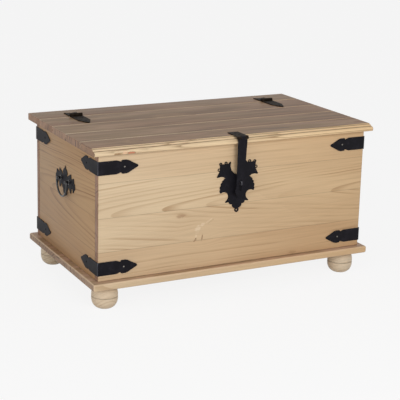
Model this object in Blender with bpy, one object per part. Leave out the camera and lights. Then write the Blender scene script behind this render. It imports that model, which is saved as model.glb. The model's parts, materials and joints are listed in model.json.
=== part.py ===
"""A pine blanket chest on four turned feet.

The box stands on an overhanging base. Behind the lid a fixed board carries two black strap hinges,
so the lid of four tongued boards lifts at the front. A hasp hangs from the lid's nosing over a staple
in a cut iron escutcheon, a drop handle hangs on each end, and bent iron straps bind the eight corners.

Metres, +Z up, the front towards -Y. The origin is on the floor, below the middle of the whole chest.
"""
import math

import bmesh
import bpy
from mathutils import Vector
from mathutils.geometry import tessellate_polygon

# Box
BODY_WIDTH = 0.868
BODY_DEPTH = 0.486
BODY_HEIGHT = 0.362
PANEL_THICKNESS = 0.021
BOARD_EASE = 0.0012
SEAT_GAP = 0.0003

# Base board
BASE_THICKNESS = 0.021
BASE_OVERHANG = 0.0205
BASE_TOP_ROUND = 0.005

# Turned feet
FOOT_HEIGHT = 0.0675
FOOT_RADIUS = 0.0382
FOOT_INSET = 0.037
FOOT_GROOVE_WIDTH = 0.0022
FOOT_GROOVE_DEPTH = 0.0009
TENON_RADIUS = 0.0125
TENON_LENGTH = 0.014
FOOT_CUT_SHARE = 0.82
FOOT_STEPS = 12
FOOT_SIDES = 24

# Top: a fixed rear board and the lid's four boards
TOP_THICKNESS = 0.021
TOP_OVERHANG_FRONT = 0.0195
TOP_OVERHANG_SIDE = 0.019
TOP_OVERHANG_BACK = 0.024
REAR_BOARD_WIDTH = 0.100
LID_BOARD_COUNT = 4
LID_SEAM_GAP = 0.0012
LID_REST_GAP = 0.0003
GROOVE_CHAMFER = 0.0016
TONGUE_THICKNESS = 0.0065
TONGUE_LENGTH = 0.0075
TOP_EDGE_ROUND = 0.003

# Moulding along the lid's front edge
MOULDING_DEPTH = 0.021
MOULDING_FILLET = 0.0016
MOULDING_BEAD_DEPTH = 0.0095
MOULDING_BEAD_DROP = 0.0048
MOULDING_QUIRK = 0.0022
NOSING_DROP = 0.0072
NOSING_LOWER_ROUND = 0.0016
MOULDING_STEPS = 6

# Battens that hold the lid's boards together
BATTEN_WIDTH = 0.045
BATTEN_THICKNESS = 0.016
BATTEN_CLEARANCE = 0.014
BATTEN_INSET = 0.183

# Strap hinges on the top
HINGE_INSET = 0.118
HINGE_WIDTH = 0.040
HINGE_PLATE = 0.002
HINGE_REAR_REACH = 0.052
HINGE_FRONT_REACH = 0.104
HINGE_FISHTAIL = 0.009
HINGE_KNUCKLE_RADIUS = 0.005
HINGE_PIN_RADIUS = 0.0021
HINGE_PIN_HEAD = 0.0014
PIN_HEAD_RIM_SHARE = 1.5
RUNNING_GAP = 0.0004
KNUCKLE_LIFT = 0.0002
TONGUE_INSET = 0.0001
KNUCKLE_SIDES = 20
# Right side of the front leaf towards its point: share of half width, share of reach
HINGE_POINT_SHARES = ((1.0, 0.30), (0.95, 0.66), (0.70, 0.705), (0.60, 0.75), (0.55, 0.83), (0.16, 0.98),
                      (0.0, 1.0))
HINGE_KNUCKLE_SHARES = (-0.5, -0.18, 0.18, 0.5)

# Hasp on the lid's front edge
HASP_WIDTH = 0.034
HASP_LEAF_LENGTH = 0.060
HASP_PLATE = 0.0022
HASP_KNUCKLE_RADIUS = 0.0045
HASP_KNUCKLE_CLEARANCE = 0.001
HASP_PIN_RADIUS = 0.0016
HASP_LENGTH = 0.184
HASP_TIP_STAND_OFF = 0.0165
HASP_SLOT_WIDTH = 0.0085
HASP_SLOT_TOP = 0.124
HASP_SLOT_LENGTH = 0.034
SLOT_STEPS = 6
HASP_STRAP_SHARES = ((0.88, 0.0), (0.74, 0.70), (0.72, 0.80), (0.94, 0.85), (0.90, 0.88), (0.30, 0.985),
                     (0.12, 1.0))

# Staple through the hasp's slot
STAPLE_WIRE_RADIUS = 0.0017
STAPLE_HEIGHT = 0.014
STAPLE_TOP_CLEARANCE = 0.003
STAPLE_PAST_HASP = 0.0108
STAPLE_LEG = 0.012
STAPLE_BEND_RADIUS = 0.0032
STAPLE_BEND_STEPS = 4

# Escutcheon behind the hasp
ESCUTCHEON_WIDTH = 0.134
ESCUTCHEON_HEIGHT = 0.1535
ESCUTCHEON_PLATE = 0.0018
ESCUTCHEON_BELOW_STAPLE = 0.092
# Right half from the top bite clockwise: share of half width, share of height, bulge to the next point
ESCUTCHEON_SHARES = (
    (0.0, 0.731, 0.45), (0.345, 0.985, -0.40), (0.392, 0.992, 0.15), (0.470, 0.955, 0.0),
    (0.514, 0.962, -1.732), (0.632, 0.953, 0.10), (0.767, 0.957, -1.823), (0.874, 0.937, 0.05),
    (0.866, 0.878, -1.823), (0.871, 0.827, 0.12), (1.0, 0.728, -0.60), (0.965, 0.706, 0.30),
    (0.570, 0.676, -0.50), (0.668, 0.650, -0.50), (0.742, 0.602, -0.50), (0.797, 0.543, -0.50),
    (0.822, 0.470, -0.40), (0.838, 0.414, -0.45), (0.790, 0.396, 1.02), (0.520, 0.240, 0.0),
    (0.566, 0.222, -0.55), (0.495, 0.206, 0.12), (0.400, 0.214, -0.50), (0.235, 0.164, -0.45),
    (0.072, 0.082, -0.66), (0.0, 0.0, 0.0))
# Holes of the foot ring and of the loops round its edge: share of half width, share of height, radius
LOOP_HOLE_SHARES = ((0.0, 0.046, 0.0026), (0.579, 0.972, 0.0021), (0.835, 0.962, 0.0014),
                    (0.905, 0.853, 0.0026))

# Drop handles on the ends
HANDLE_WIDTH = 0.152
HANDLE_HEIGHT = 0.090
HANDLE_PLATE = 0.002
HANDLE_RISE = 0.232
# Right half from the top point clockwise: share of half width, share of height, bulge to the next point
HANDLE_SHARES = (
    (0.0, 0.51, 0.10), (0.07, 0.41, -0.20), (0.22, 0.31, -0.35), (0.17, 0.20, 0.50), (0.33, 0.24, 0.15),
    (0.53, 0.31, -0.30), (0.60, 0.32, 0.0), (0.61, 0.22, 0.55), (0.72, 0.19, 0.15), (0.83, 0.24, -0.30),
    (0.88, 0.23, 0.0), (0.92, 0.10, -0.30), (1.0, -0.02, -0.50), (0.93, -0.14, 0.20), (0.86, -0.22, -0.40),
    (0.79, -0.23, 0.0), (0.75, -0.14, 0.60), (0.64, -0.16, 0.10), (0.61, -0.28, -0.50), (0.53, -0.30, 0.0),
    (0.42, -0.17, 0.40), (0.30, -0.20, -0.50), (0.22, -0.28, 0.20), (0.205, -0.36, -0.25),
    (0.13, -0.45, -0.30), (0.0, -0.49, 0.0))
POST_SPREAD = 0.031
POST_RISE = 0.003
POST_RADIUS = 0.0042
POST_COLLAR_RADIUS = 0.0072
POST_COLLAR_HEIGHT = 0.0025
BAIL_STAND_OFF = 0.0125
POST_EYE_RADIUS = 0.0052
POST_SIDES = 16
POST_BALL_FROM = -40
POST_BALL_STEPS = 5
BAIL_RADIUS = 0.0029
BAIL_SIDE_CLEARANCE = 0.0004
BAIL_DROP = 0.050
BAIL_BEND_RADIUS = 0.0035
BAIL_BEND_STEPS = 4
BAIL_STEPS = 22

# Bent straps on the corners
STRAP_ARM = 0.119
STRAP_HEIGHT = 0.039
STRAP_PLATE = 0.002
STRAP_END_DISTANCE = 0.037
STRAP_BEND_STEPS = 4
# Along one arm from the bend: share of the arm, share of half the height
STRAP_SHARES = ((0.46, 1.0), (0.52, 0.88), (0.555, 0.79), (0.575, 0.80), (0.585, 0.95), (0.605, 1.0),
                (0.70, 1.0), (0.76, 0.90), (0.86, 0.56), (0.94, 0.30), (0.985, 0.16), (1.0, 0.06))

# Fineness of arcs and the length by which a cutter passes a face
ARC_STEP = math.radians(24)
HOLE_SIDES = 12
ROD_BEVEL_STEPS = 2
CUT_OVERRUN = 0.002

# Levels and planes that the pieces share
BASE_LEVEL = FOOT_HEIGHT
FLOOR_LEVEL = BASE_LEVEL + BASE_THICKNESS
RIM_LEVEL = FLOOR_LEVEL + BODY_HEIGHT
TOP_LEVEL = RIM_LEVEL + TOP_THICKNESS
FRONT_REACH = (BODY_DEPTH / 2 + TOP_OVERHANG_FRONT + HASP_KNUCKLE_CLEARANCE + 2 * HASP_KNUCKLE_RADIUS)
BACK_REACH = BODY_DEPTH / 2 + TOP_OVERHANG_BACK
CENTRE_Y = (FRONT_REACH - BACK_REACH) / 2
FRONT_FACE = CENTRE_Y - BODY_DEPTH / 2
BACK_FACE = CENTRE_Y + BODY_DEPTH / 2
NOSING_FACE = FRONT_FACE - TOP_OVERHANG_FRONT
TOP_BACK = BACK_FACE + TOP_OVERHANG_BACK
TOP_WIDTH = BODY_WIDTH + 2 * TOP_OVERHANG_SIDE
SEAM_Y = TOP_BACK - REAR_BOARD_WIDTH
LID_AXIS = Vector((0, SEAM_Y, TOP_LEVEL + SEAT_GAP + KNUCKLE_LIFT + HINGE_KNUCKLE_RADIUS))
HASP_AXIS = Vector((0, NOSING_FACE - HASP_KNUCKLE_CLEARANCE - HASP_KNUCKLE_RADIUS,
                    TOP_LEVEL + SEAT_GAP + HASP_PLATE + KNUCKLE_LIFT - HASP_KNUCKLE_RADIUS))
HANDLE_LEVEL = FLOOR_LEVEL + HANDLE_RISE
BAIL_LEVEL = HANDLE_LEVEL + POST_RISE

PINE = (0.60, 0.43, 0.25)
PINE_END = (0.44, 0.30, 0.18)
PINE_TOP = (0.34, 0.24, 0.16)
PINE_FOOT = (0.62, 0.47, 0.29)
IRON = (0.012, 0.012, 0.016)


def clear_scene():
    for item in list(bpy.data.objects):
        bpy.data.objects.remove(item, do_unlink=True)


def material(name, colour, roughness, metallic):
    made = bpy.data.materials.new(name)
    made.use_nodes = True
    shader = made.node_tree.nodes["Principled BSDF"]
    shader.inputs["Base Color"].default_value = (*colour, 1)
    shader.inputs["Roughness"].default_value = roughness
    shader.inputs["Metallic"].default_value = metallic
    return made


def wood(name, colour=PINE):
    return material(name, colour, 0.55, 0.0)


def iron(name):
    return material(name, IRON, 0.42, 0.6)


def add(name, mesh, finish, location=(0, 0, 0), turn=0.0, axis=None):
    """Puts a mesh in the scene; a moving piece is held by the empty on its joint's axis."""
    piece = bpy.data.objects.new(name, mesh)
    bpy.context.collection.objects.link(piece)
    piece.location = location
    piece.rotation_euler = (0, 0, turn)
    if not mesh.materials:
        mesh.materials.append(finish)
    piece.material_slots[0].link = "OBJECT"
    piece.material_slots[0].material = finish
    if axis is not None:
        piece.parent = axis
        piece.location = Vector(location) - axis.location
    return piece


def add_axis(name, location):
    axis = bpy.data.objects.new(name, None)
    bpy.context.collection.objects.link(axis)
    axis.location = location
    return axis


def mesh_from(bm, name, smooth=False):
    bmesh.ops.recalc_face_normals(bm, faces=bm.faces)
    mesh = bpy.data.meshes.new(name)
    bm.to_mesh(mesh)
    bm.free()
    if smooth:
        mesh.shade_smooth()
        mesh.set_sharp_from_angle(angle=math.radians(35))
    return mesh


def arc_points(start, end, bulge):
    """The points after start and before end on the arc whose quarter angle has this tangent."""
    sweep = 4 * math.atan(bulge)
    steps = max(1, round(abs(sweep) / ARC_STEP))
    if steps < 2:
        return []
    start, end = Vector(start), Vector(end)
    chord = end - start
    left = Vector((-chord.y, chord.x))
    centre = (start + end) / 2 + left / (2 * math.tan(sweep / 2))
    points = []
    for step in range(1, steps):
        angle = sweep * step / steps
        spoke = start - centre
        points.append((centre.x + spoke.x * math.cos(angle) - spoke.y * math.sin(angle),
                       centre.y + spoke.x * math.sin(angle) + spoke.y * math.cos(angle)))
    return points


def mirrored_outline(shares, half_width, height):
    """A closed outline from its right half, given as shares with the bulge to each next point."""
    points = [(across * half_width, up * height) for across, up, bulge in shares]
    half = []
    for index, (across, up, bulge) in enumerate(shares[:-1]):
        half.append(points[index])
        half.extend(arc_points(points[index], points[index + 1], bulge))
    half.append(points[-1])
    return half + [(-across, up) for across, up in reversed(half[1:-1])]


def circle(centre, radius, sides=HOLE_SIDES):
    angles = [2 * math.pi * (side + 0.5) / sides for side in range(sides)]
    return [(centre[0] + radius * math.cos(angle), centre[1] + radius * math.sin(angle)) for angle in angles]


def slab(bm, outline, holes, low, high, place):
    """Fills an outline with its holes and gives it a thickness; place turns (u, v, w) into a point."""
    loops = [outline, *holes]
    flat = [point for loop in loops for point in loop]
    faces = [range(len(outline))]
    if holes:
        faces = tessellate_polygon([[Vector((u, v, 0)) for u, v in loop] for loop in loops])
    lower = [bm.verts.new(place(u, v, low)) for u, v in flat]
    upper = [bm.verts.new(place(u, v, high)) for u, v in flat]
    for face in faces:
        bm.faces.new([lower[index] for index in reversed(face)])
        bm.faces.new([upper[index] for index in face])
    first = 0
    for loop in loops:
        for index in range(len(loop)):
            here, after = first + index, first + (index + 1) % len(loop)
            bm.faces.new((lower[here], lower[after], upper[after], upper[here]))
        first += len(loop)


def facing_front(u, v, w):
    return Vector((u, -w, v))


def facing_back(u, v, w):
    return Vector((v, w, u))


def facing_up(u, v, w):
    return Vector((u, v, w))


def facing_right(u, v, w):
    return Vector((w, u, v))


def board_mesh(name, width, depth, height, ease=BOARD_EASE):
    """A sawn board with eased edges, centred on its own middle."""
    bm = bmesh.new()
    bmesh.ops.create_cube(bm, size=1)
    bmesh.ops.scale(bm, verts=bm.verts, vec=(width, depth, height))
    bmesh.ops.bevel(bm, geom=bm.edges[:], offset=ease, segments=2, profile=0.5, affect="EDGES")
    return mesh_from(bm, name)


def turned_mesh(name, profile, sides):
    """Turns a profile of (radius, height) points about Z, from the bottom of the axis to its top."""
    bm = bmesh.new()
    corners = [bm.verts.new((radius, 0, height)) for radius, height in profile]
    edges = [bm.edges.new(pair) for pair in zip(corners, corners[1:])]
    bmesh.ops.spin(bm, geom=corners + edges, cent=(0, 0, 0), axis=(0, 0, 1), angle=2 * math.pi,
                   steps=sides, use_merge=True)
    bmesh.ops.remove_doubles(bm, verts=bm.verts, dist=SEAT_GAP / 10)
    return mesh_from(bm, name, smooth=True)


def cylinder_mesh(name, radius, low, high, sides, axis):
    """A plain round bar along X, Y or Z."""
    places = {"X": facing_right, "Y": facing_back, "Z": facing_up}
    bm = bmesh.new()
    slab(bm, circle((0, 0), radius, sides), [], low, high, places[axis])
    return mesh_from(bm, name, smooth=True)


def rod(name, points, radius, finish, location=(0, 0, 0), axis=None):
    """A round bar bent along a line of points, with flat ends."""
    curve = bpy.data.curves.new(name, "CURVE")
    curve.dimensions = "3D"
    curve.bevel_depth = radius
    curve.bevel_resolution = ROD_BEVEL_STEPS
    curve.use_fill_caps = True
    spline = curve.splines.new("POLY")
    spline.points.add(len(points) - 1)
    for place, point in zip(spline.points, points):
        place.co = (*point, 1)
    return add(name, curve, finish, location, axis=axis)


def use_boolean(piece, other, operation):
    """Cuts or joins another solid, which stays in the file as a hidden guide."""
    other.hide_render = True
    other.display_type = "WIRE"
    step = piece.modifiers.new(operation.lower(), "BOOLEAN")
    step.operation = operation
    step.object = other
    step.solver = "EXACT"


def rounded_corner(centre, radius, start, end, steps):
    """Points on an arc between two angles in degrees."""
    angles = [math.radians(start + (end - start) * step / steps) for step in range(steps + 1)]
    return [(centre[0] + radius * math.cos(angle), centre[1] + radius * math.sin(angle)) for angle in angles]


def foot_profile():
    """A ball cut flat above and below, with a fine groove round its middle and a tenon on top."""
    middle = FOOT_HEIGHT / 2
    rise = middle / FOOT_CUT_SHARE
    limit = math.asin(FOOT_CUT_SHARE)
    ball = []
    for step in range(FOOT_STEPS + 1):
        angle = -limit + 2 * limit * step / FOOT_STEPS
        height = middle + rise * math.sin(angle)
        if abs(height - middle) > FOOT_GROOVE_WIDTH:
            ball.append((FOOT_RADIUS * math.cos(angle), height - (SEAT_GAP if angle > 0 else 0)))
    below = [point for point in ball if point[1] < middle]
    above = [point for point in ball if point[1] > middle]
    groove = [(FOOT_RADIUS, middle - FOOT_GROOVE_WIDTH / 2), (FOOT_RADIUS - FOOT_GROOVE_DEPTH, middle),
              (FOOT_RADIUS, middle + FOOT_GROOVE_WIDTH / 2)]
    top = FOOT_HEIGHT - SEAT_GAP
    tenon = [(TENON_RADIUS, top), (TENON_RADIUS, FOOT_HEIGHT + TENON_LENGTH), (0, FOOT_HEIGHT + TENON_LENGTH)]
    return [(0, 0), *below, *groove, *above, *tenon]


def build_feet_and_base():
    places = [(side, end) for end in (-1, 1) for side in (-1, 1)]
    names = ("foot_front_left", "foot_front_right", "foot_back_left", "foot_back_right")
    foot = turned_mesh("foot", foot_profile(), FOOT_SIDES)

    bm = bmesh.new()
    bmesh.ops.create_cube(bm, size=1)
    size = (BODY_WIDTH + 2 * BASE_OVERHANG, BODY_DEPTH + 2 * BASE_OVERHANG, BASE_THICKNESS)
    bmesh.ops.scale(bm, verts=bm.verts, vec=size)
    rim = [edge for edge in bm.edges if all(vert.co.z > 0 for vert in edge.verts)]
    bmesh.ops.bevel(bm, geom=rim, offset=BASE_TOP_ROUND, segments=4, profile=0.5, affect="EDGES")
    base = add("base_board", mesh_from(bm, "base_board", smooth=True), wood("base_board"),
               (0, CENTRE_Y, BASE_LEVEL + BASE_THICKNESS / 2))

    for name, (side, end) in zip(names, places):
        x = side * (BODY_WIDTH / 2 - FOOT_INSET)
        y = CENTRE_Y + end * (BODY_DEPTH / 2 - FOOT_INSET)
        add(name, foot, wood(name, PINE_FOOT), (x, y, 0))
        hole = cylinder_mesh("tenon_hole", TENON_RADIUS + SEAT_GAP, -CUT_OVERRUN, TENON_LENGTH + SEAT_GAP,
                             FOOT_SIDES, "Z")
        cutter = add("tenon_hole_" + name, hole, wood("tenon_hole"), (x, y, FOOT_HEIGHT))
        use_boolean(base, cutter, "DIFFERENCE")


def build_box():
    height = BODY_HEIGHT - 2 * SEAT_GAP
    middle = FLOOR_LEVEL + BODY_HEIGHT / 2
    long_board = board_mesh("long_panel", BODY_WIDTH, PANEL_THICKNESS, height)
    inner_depth = BODY_DEPTH - 2 * PANEL_THICKNESS
    end_board = board_mesh("end_panel", PANEL_THICKNESS, inner_depth - 2 * SEAT_GAP, height)
    offset = BODY_DEPTH / 2 - PANEL_THICKNESS / 2
    front = add("front_panel", long_board, wood("front_panel"), (0, CENTRE_Y - offset, middle))
    add("back_panel", long_board, wood("back_panel"), (0, CENTRE_Y + offset, middle))
    for name, side in (("left_end_panel", -1), ("right_end_panel", 1)):
        x = side * (BODY_WIDTH - PANEL_THICKNESS) / 2
        add(name, end_board, wood(name, PINE_END), (x, CENTRE_Y, middle))
    return front


def board_profile(back, front, has_groove, has_tongue):
    """Section of one top board across its width: v-grooved edges, a groove behind and a tongue before."""
    top, bottom = TOP_THICKNESS, LID_REST_GAP
    middle = (top + bottom) / 2
    outline = [(back, bottom)]
    if has_groove:
        half = TONGUE_THICKNESS / 2 + SEAT_GAP
        depth = TONGUE_LENGTH + SEAT_GAP
        outline += [(back, middle - half), (back - depth, middle - half), (back - depth, middle + half),
                    (back, middle + half)]
    outline += [(back, top - GROOVE_CHAMFER), (back - GROOVE_CHAMFER, top)]
    outline += [(front + GROOVE_CHAMFER, top), (front, top - GROOVE_CHAMFER)]
    if has_tongue:
        half = TONGUE_THICKNESS / 2
        outline += [(front, middle + half), (front - TONGUE_LENGTH, middle + half),
                    (front - TONGUE_LENGTH, middle - half), (front, middle - half)]
    return outline + [(front, bottom)]


def quarter_round(back, top, depth, drop):
    """Points on a bead's quarter ellipse, from just past its top to its front."""
    angles = [math.pi / 2 * step / MOULDING_STEPS for step in range(1, MOULDING_STEPS + 1)]
    return [(back - depth * math.sin(angle), top - drop + drop * math.cos(angle)) for angle in angles]


def moulded_front(nosing):
    """The front edge from the flat top down: fillet, bead, quirk, nosing and a soft lower arris."""
    top, bottom = TOP_THICKNESS, LID_REST_GAP
    back, bead_top = nosing + MOULDING_DEPTH, top - MOULDING_FILLET
    bead_foot = bead_top - MOULDING_BEAD_DROP
    quirk = back - MOULDING_BEAD_DEPTH - MOULDING_QUIRK
    bead = quarter_round(back, bead_top, MOULDING_BEAD_DEPTH, MOULDING_BEAD_DROP)
    nose = quarter_round(quirk, bead_foot, quirk - nosing, NOSING_DROP)
    return [(back, top), (back, bead_top), *bead, (quirk, bead_foot), *nose,
            (nosing, bottom + NOSING_LOWER_ROUND), (nosing + NOSING_LOWER_ROUND, bottom)]


def top_board(name, outline, axis=None):
    """One board of the top, cut off square at both ends with the end arris eased."""
    bm = bmesh.new()
    slab(bm, outline, [], -TOP_WIDTH / 2, TOP_WIDTH / 2, facing_right)
    bmesh.ops.dissolve_limit(bm, angle_limit=math.radians(1), verts=bm.verts, edges=bm.edges)
    ends = [edge for edge in bm.edges if abs(edge.verts[0].co.x - edge.verts[1].co.x) < SEAT_GAP]
    bmesh.ops.bevel(bm, geom=ends, offset=BOARD_EASE / 2, segments=1, profile=0.5, affect="EDGES")
    return add(name, mesh_from(bm, name, smooth=True), wood(name, PINE_TOP), (0, 0, RIM_LEVEL), axis=axis)


def build_top(lid_axis):
    rear_front = SEAM_Y + LID_SEAM_GAP / 2
    rear = board_profile(TOP_BACK, rear_front, False, False)
    top, bottom = TOP_THICKNESS, LID_REST_GAP
    rear = [point for point in rear if point[0] < TOP_BACK - 2 * GROOVE_CHAMFER]
    round_centre = (TOP_BACK - TOP_EDGE_ROUND, top - TOP_EDGE_ROUND)
    rear = [(TOP_BACK, bottom), *rounded_corner(round_centre, TOP_EDGE_ROUND, 0, 90, 4), *rear]
    top_board("rear_top_board", rear)

    lid_back = SEAM_Y - LID_SEAM_GAP / 2
    pitch = (lid_back - NOSING_FACE) / LID_BOARD_COUNT
    names = ("lid_board_rear", "lid_board_second", "lid_board_third", "lid_board_front")
    for index, name in enumerate(names):
        back = lid_back - index * pitch - (SEAT_GAP / 2 if index else 0)
        front = lid_back - (index + 1) * pitch + SEAT_GAP / 2
        is_front = index == LID_BOARD_COUNT - 1
        outline = board_profile(back, front, index > 0, not is_front)
        if is_front:
            outline = [point for point in outline if point[0] > back - pitch / 2] + moulded_front(NOSING_FACE)
        top_board(name, outline, lid_axis)

    inner_front = FRONT_FACE + PANEL_THICKNESS + BATTEN_CLEARANCE
    length = SEAM_Y - BATTEN_CLEARANCE - inner_front
    batten = board_mesh("batten", BATTEN_WIDTH, length, BATTEN_THICKNESS, 2 * BOARD_EASE)
    level = RIM_LEVEL + LID_REST_GAP - SEAT_GAP - BATTEN_THICKNESS / 2
    for name, side in (("lid_batten_left", -1), ("lid_batten_right", 1)):
        place = (side * (TOP_WIDTH / 2 - BATTEN_INSET), inner_front + length / 2, level)
        add(name, batten, wood(name), place, axis=lid_axis)


def knuckle_places(width):
    """Where the knuckles lie along the pin: the two outer ones, and the one between them."""
    bounds = [share * width for share in HINGE_KNUCKLE_SHARES]
    gap = RUNNING_GAP / 2
    return [(bounds[0], bounds[1] - gap), (bounds[2] + gap, bounds[3])], [(bounds[1] + gap, bounds[2] - gap)]


def knuckle_edge(width, knuckles, radius):
    """The edge of a leaf beside the pin: tongues run into its own knuckles and gaps clear the others."""
    clear = radius + RUNNING_GAP
    edge = [(-width / 2, clear)]
    for low, high in knuckles:
        low, high = low + TONGUE_INSET, high - TONGUE_INSET
        edge += [(low, clear), (low, -TONGUE_INSET), (high, -TONGUE_INSET), (high, clear)]
    return edge + [(width / 2, clear)]


def roll_knuckles(leaf, knuckles, radius, bore, place, axis=None):
    """Rolls a leaf's edge round the pin: a solid round at each knuckle, then the pin's bore through them."""
    for index, (start, end) in enumerate(knuckles):
        name = "knuckle_%d_of_%s" % (index, leaf.name)
        roll = cylinder_mesh("knuckle", radius, start, end, KNUCKLE_SIDES, "X")
        use_boolean(leaf, add(name, roll, iron("knuckle"), place, axis=axis), "UNION")
    low, high = knuckles[0][0] - CUT_OVERRUN, knuckles[-1][1] + CUT_OVERRUN
    hole = cylinder_mesh("bore", bore, low, high, KNUCKLE_SIDES, "X")
    use_boolean(leaf, add("bore_of_" + leaf.name, hole, iron("bore"), place, axis=axis), "DIFFERENCE")


def leaf_with_knuckles(name, outline, low, high, knuckles, radius, bore, place, axis=None):
    """A flat leaf whose edge is rolled into knuckles round the pin."""
    bm = bmesh.new()
    slab(bm, outline, [], low, high, facing_up)
    leaf = add(name, mesh_from(bm, name), iron(name), place, axis=axis)
    roll_knuckles(leaf, knuckles, radius, bore, place, axis)


def pin_mesh(name, radius, head, half_length):
    """A hinge pin with a low domed head at each end, lying along X."""
    rim = radius * PIN_HEAD_RIM_SHARE
    top = [(radius, half_length - SEAT_GAP), (rim, half_length), (radius, half_length + head / 2),
           (0, half_length + head)]
    profile = [(reach, -height) for reach, height in reversed(top)] + top
    pin = turned_mesh(name, profile, KNUCKLE_SIDES)
    for vert in pin.vertices:
        vert.co = Vector((vert.co.z, vert.co.y, -vert.co.x))
    return pin


def build_hinges(lid_axis):
    outer, inner = knuckle_places(HINGE_WIDTH)
    half, radius = HINGE_WIDTH / 2, HINGE_KNUCKLE_RADIUS
    bore = HINGE_PIN_RADIUS + SEAT_GAP
    low = -radius - KNUCKLE_LIFT
    taper = [(across * half, along * HINGE_FRONT_REACH) for across, along in HINGE_POINT_SHARES]
    front = taper + [(-u, v) for u, v in reversed(taper[:-1])] + knuckle_edge(HINGE_WIDTH, outer, radius)
    front = [(u, -v) for u, v in front]
    rear = [(half, HINGE_REAR_REACH), (0, HINGE_REAR_REACH - HINGE_FISHTAIL), (-half, HINGE_REAR_REACH)]
    rear += knuckle_edge(HINGE_WIDTH, inner, radius)
    pin = pin_mesh("hinge_pin", HINGE_PIN_RADIUS, HINGE_PIN_HEAD, half + RUNNING_GAP)
    for name, side in (("left", -1), ("right", 1)):
        place = (side * (TOP_WIDTH / 2 - HINGE_INSET), LID_AXIS.y, LID_AXIS.z)
        front_leaf, rear_leaf = "hinge_front_leaf_" + name, "hinge_rear_leaf_" + name
        leaf_with_knuckles(front_leaf, front, low, low + HINGE_PLATE, outer, radius, bore, place, lid_axis)
        leaf_with_knuckles(rear_leaf, rear, low, low + HINGE_PLATE, inner, radius, bore, place)
        add("hinge_pin_" + name, pin, iron("hinge_pin_" + name), place)


def hasp_lean():
    """The angle at which the hasp hangs from its pin, its tip just off the escutcheon."""
    tip = HASP_TIP_STAND_OFF
    stand_off = FRONT_FACE - HASP_AXIS.y - HASP_PLATE / 2
    return math.asin((stand_off - tip) / HASP_LENGTH)


def build_hasp(lid_axis, hasp_axis):
    half, radius = HASP_WIDTH / 2, HASP_KNUCKLE_RADIUS
    outer, inner = knuckle_places(HASP_WIDTH)
    bore = HASP_PIN_RADIUS + SEAT_GAP
    high = radius - KNUCKLE_LIFT
    leaf = [(half, HASP_LEAF_LENGTH), (-half, HASP_LEAF_LENGTH)] + knuckle_edge(HASP_WIDTH, outer, radius)
    low = high - HASP_PLATE
    leaf_with_knuckles("hasp_lid_leaf", leaf, low, high, outer, radius, bore, HASP_AXIS, lid_axis)
    pin = pin_mesh("hasp_pin", HASP_PIN_RADIUS, HINGE_PIN_HEAD, half + RUNNING_GAP)
    add("hasp_pin", pin, iron("hasp_pin"), HASP_AXIS, axis=lid_axis)

    lean = hasp_lean()
    end = inner[0][1]
    side = [(across * half, -along * HASP_LENGTH) for across, along in HASP_STRAP_SHARES]
    side[0] = (side[0][0], -radius - RUNNING_GAP)
    right = [(end - TONGUE_INSET, 0), (end - TONGUE_INSET, side[0][1]), *side]
    outline = right + [(-u, v) for u, v in reversed(right)]
    slot_half = HASP_SLOT_WIDTH / 2
    top, bottom = -HASP_SLOT_TOP - slot_half, -HASP_SLOT_TOP - HASP_SLOT_LENGTH + slot_half
    slot = [*rounded_corner((0, top), slot_half, 0, 180, SLOT_STEPS),
            *rounded_corner((0, bottom), slot_half, 180, 360, SLOT_STEPS)]

    def hanging(u, v, w):
        return Vector((u, -w * math.cos(lean) - v * math.sin(lean), v * math.cos(lean) - w * math.sin(lean)))

    bm = bmesh.new()
    slab(bm, outline, [slot], -HASP_PLATE / 2, HASP_PLATE / 2, hanging)
    strap = add("hasp_strap", mesh_from(bm, "hasp_strap"), iron("hasp_strap"), HASP_AXIS, axis=hasp_axis)
    roll_knuckles(strap, inner, radius, bore, HASP_AXIS, hasp_axis)


def staple_level():
    """Height of the staple's middle: high in the hasp's slot, so the lid can lift past it."""
    lean = hasp_lean()
    slot_top = HASP_AXIS.z - HASP_SLOT_TOP * math.cos(lean)
    return slot_top - STAPLE_TOP_CLEARANCE - STAPLE_HEIGHT / 2


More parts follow.
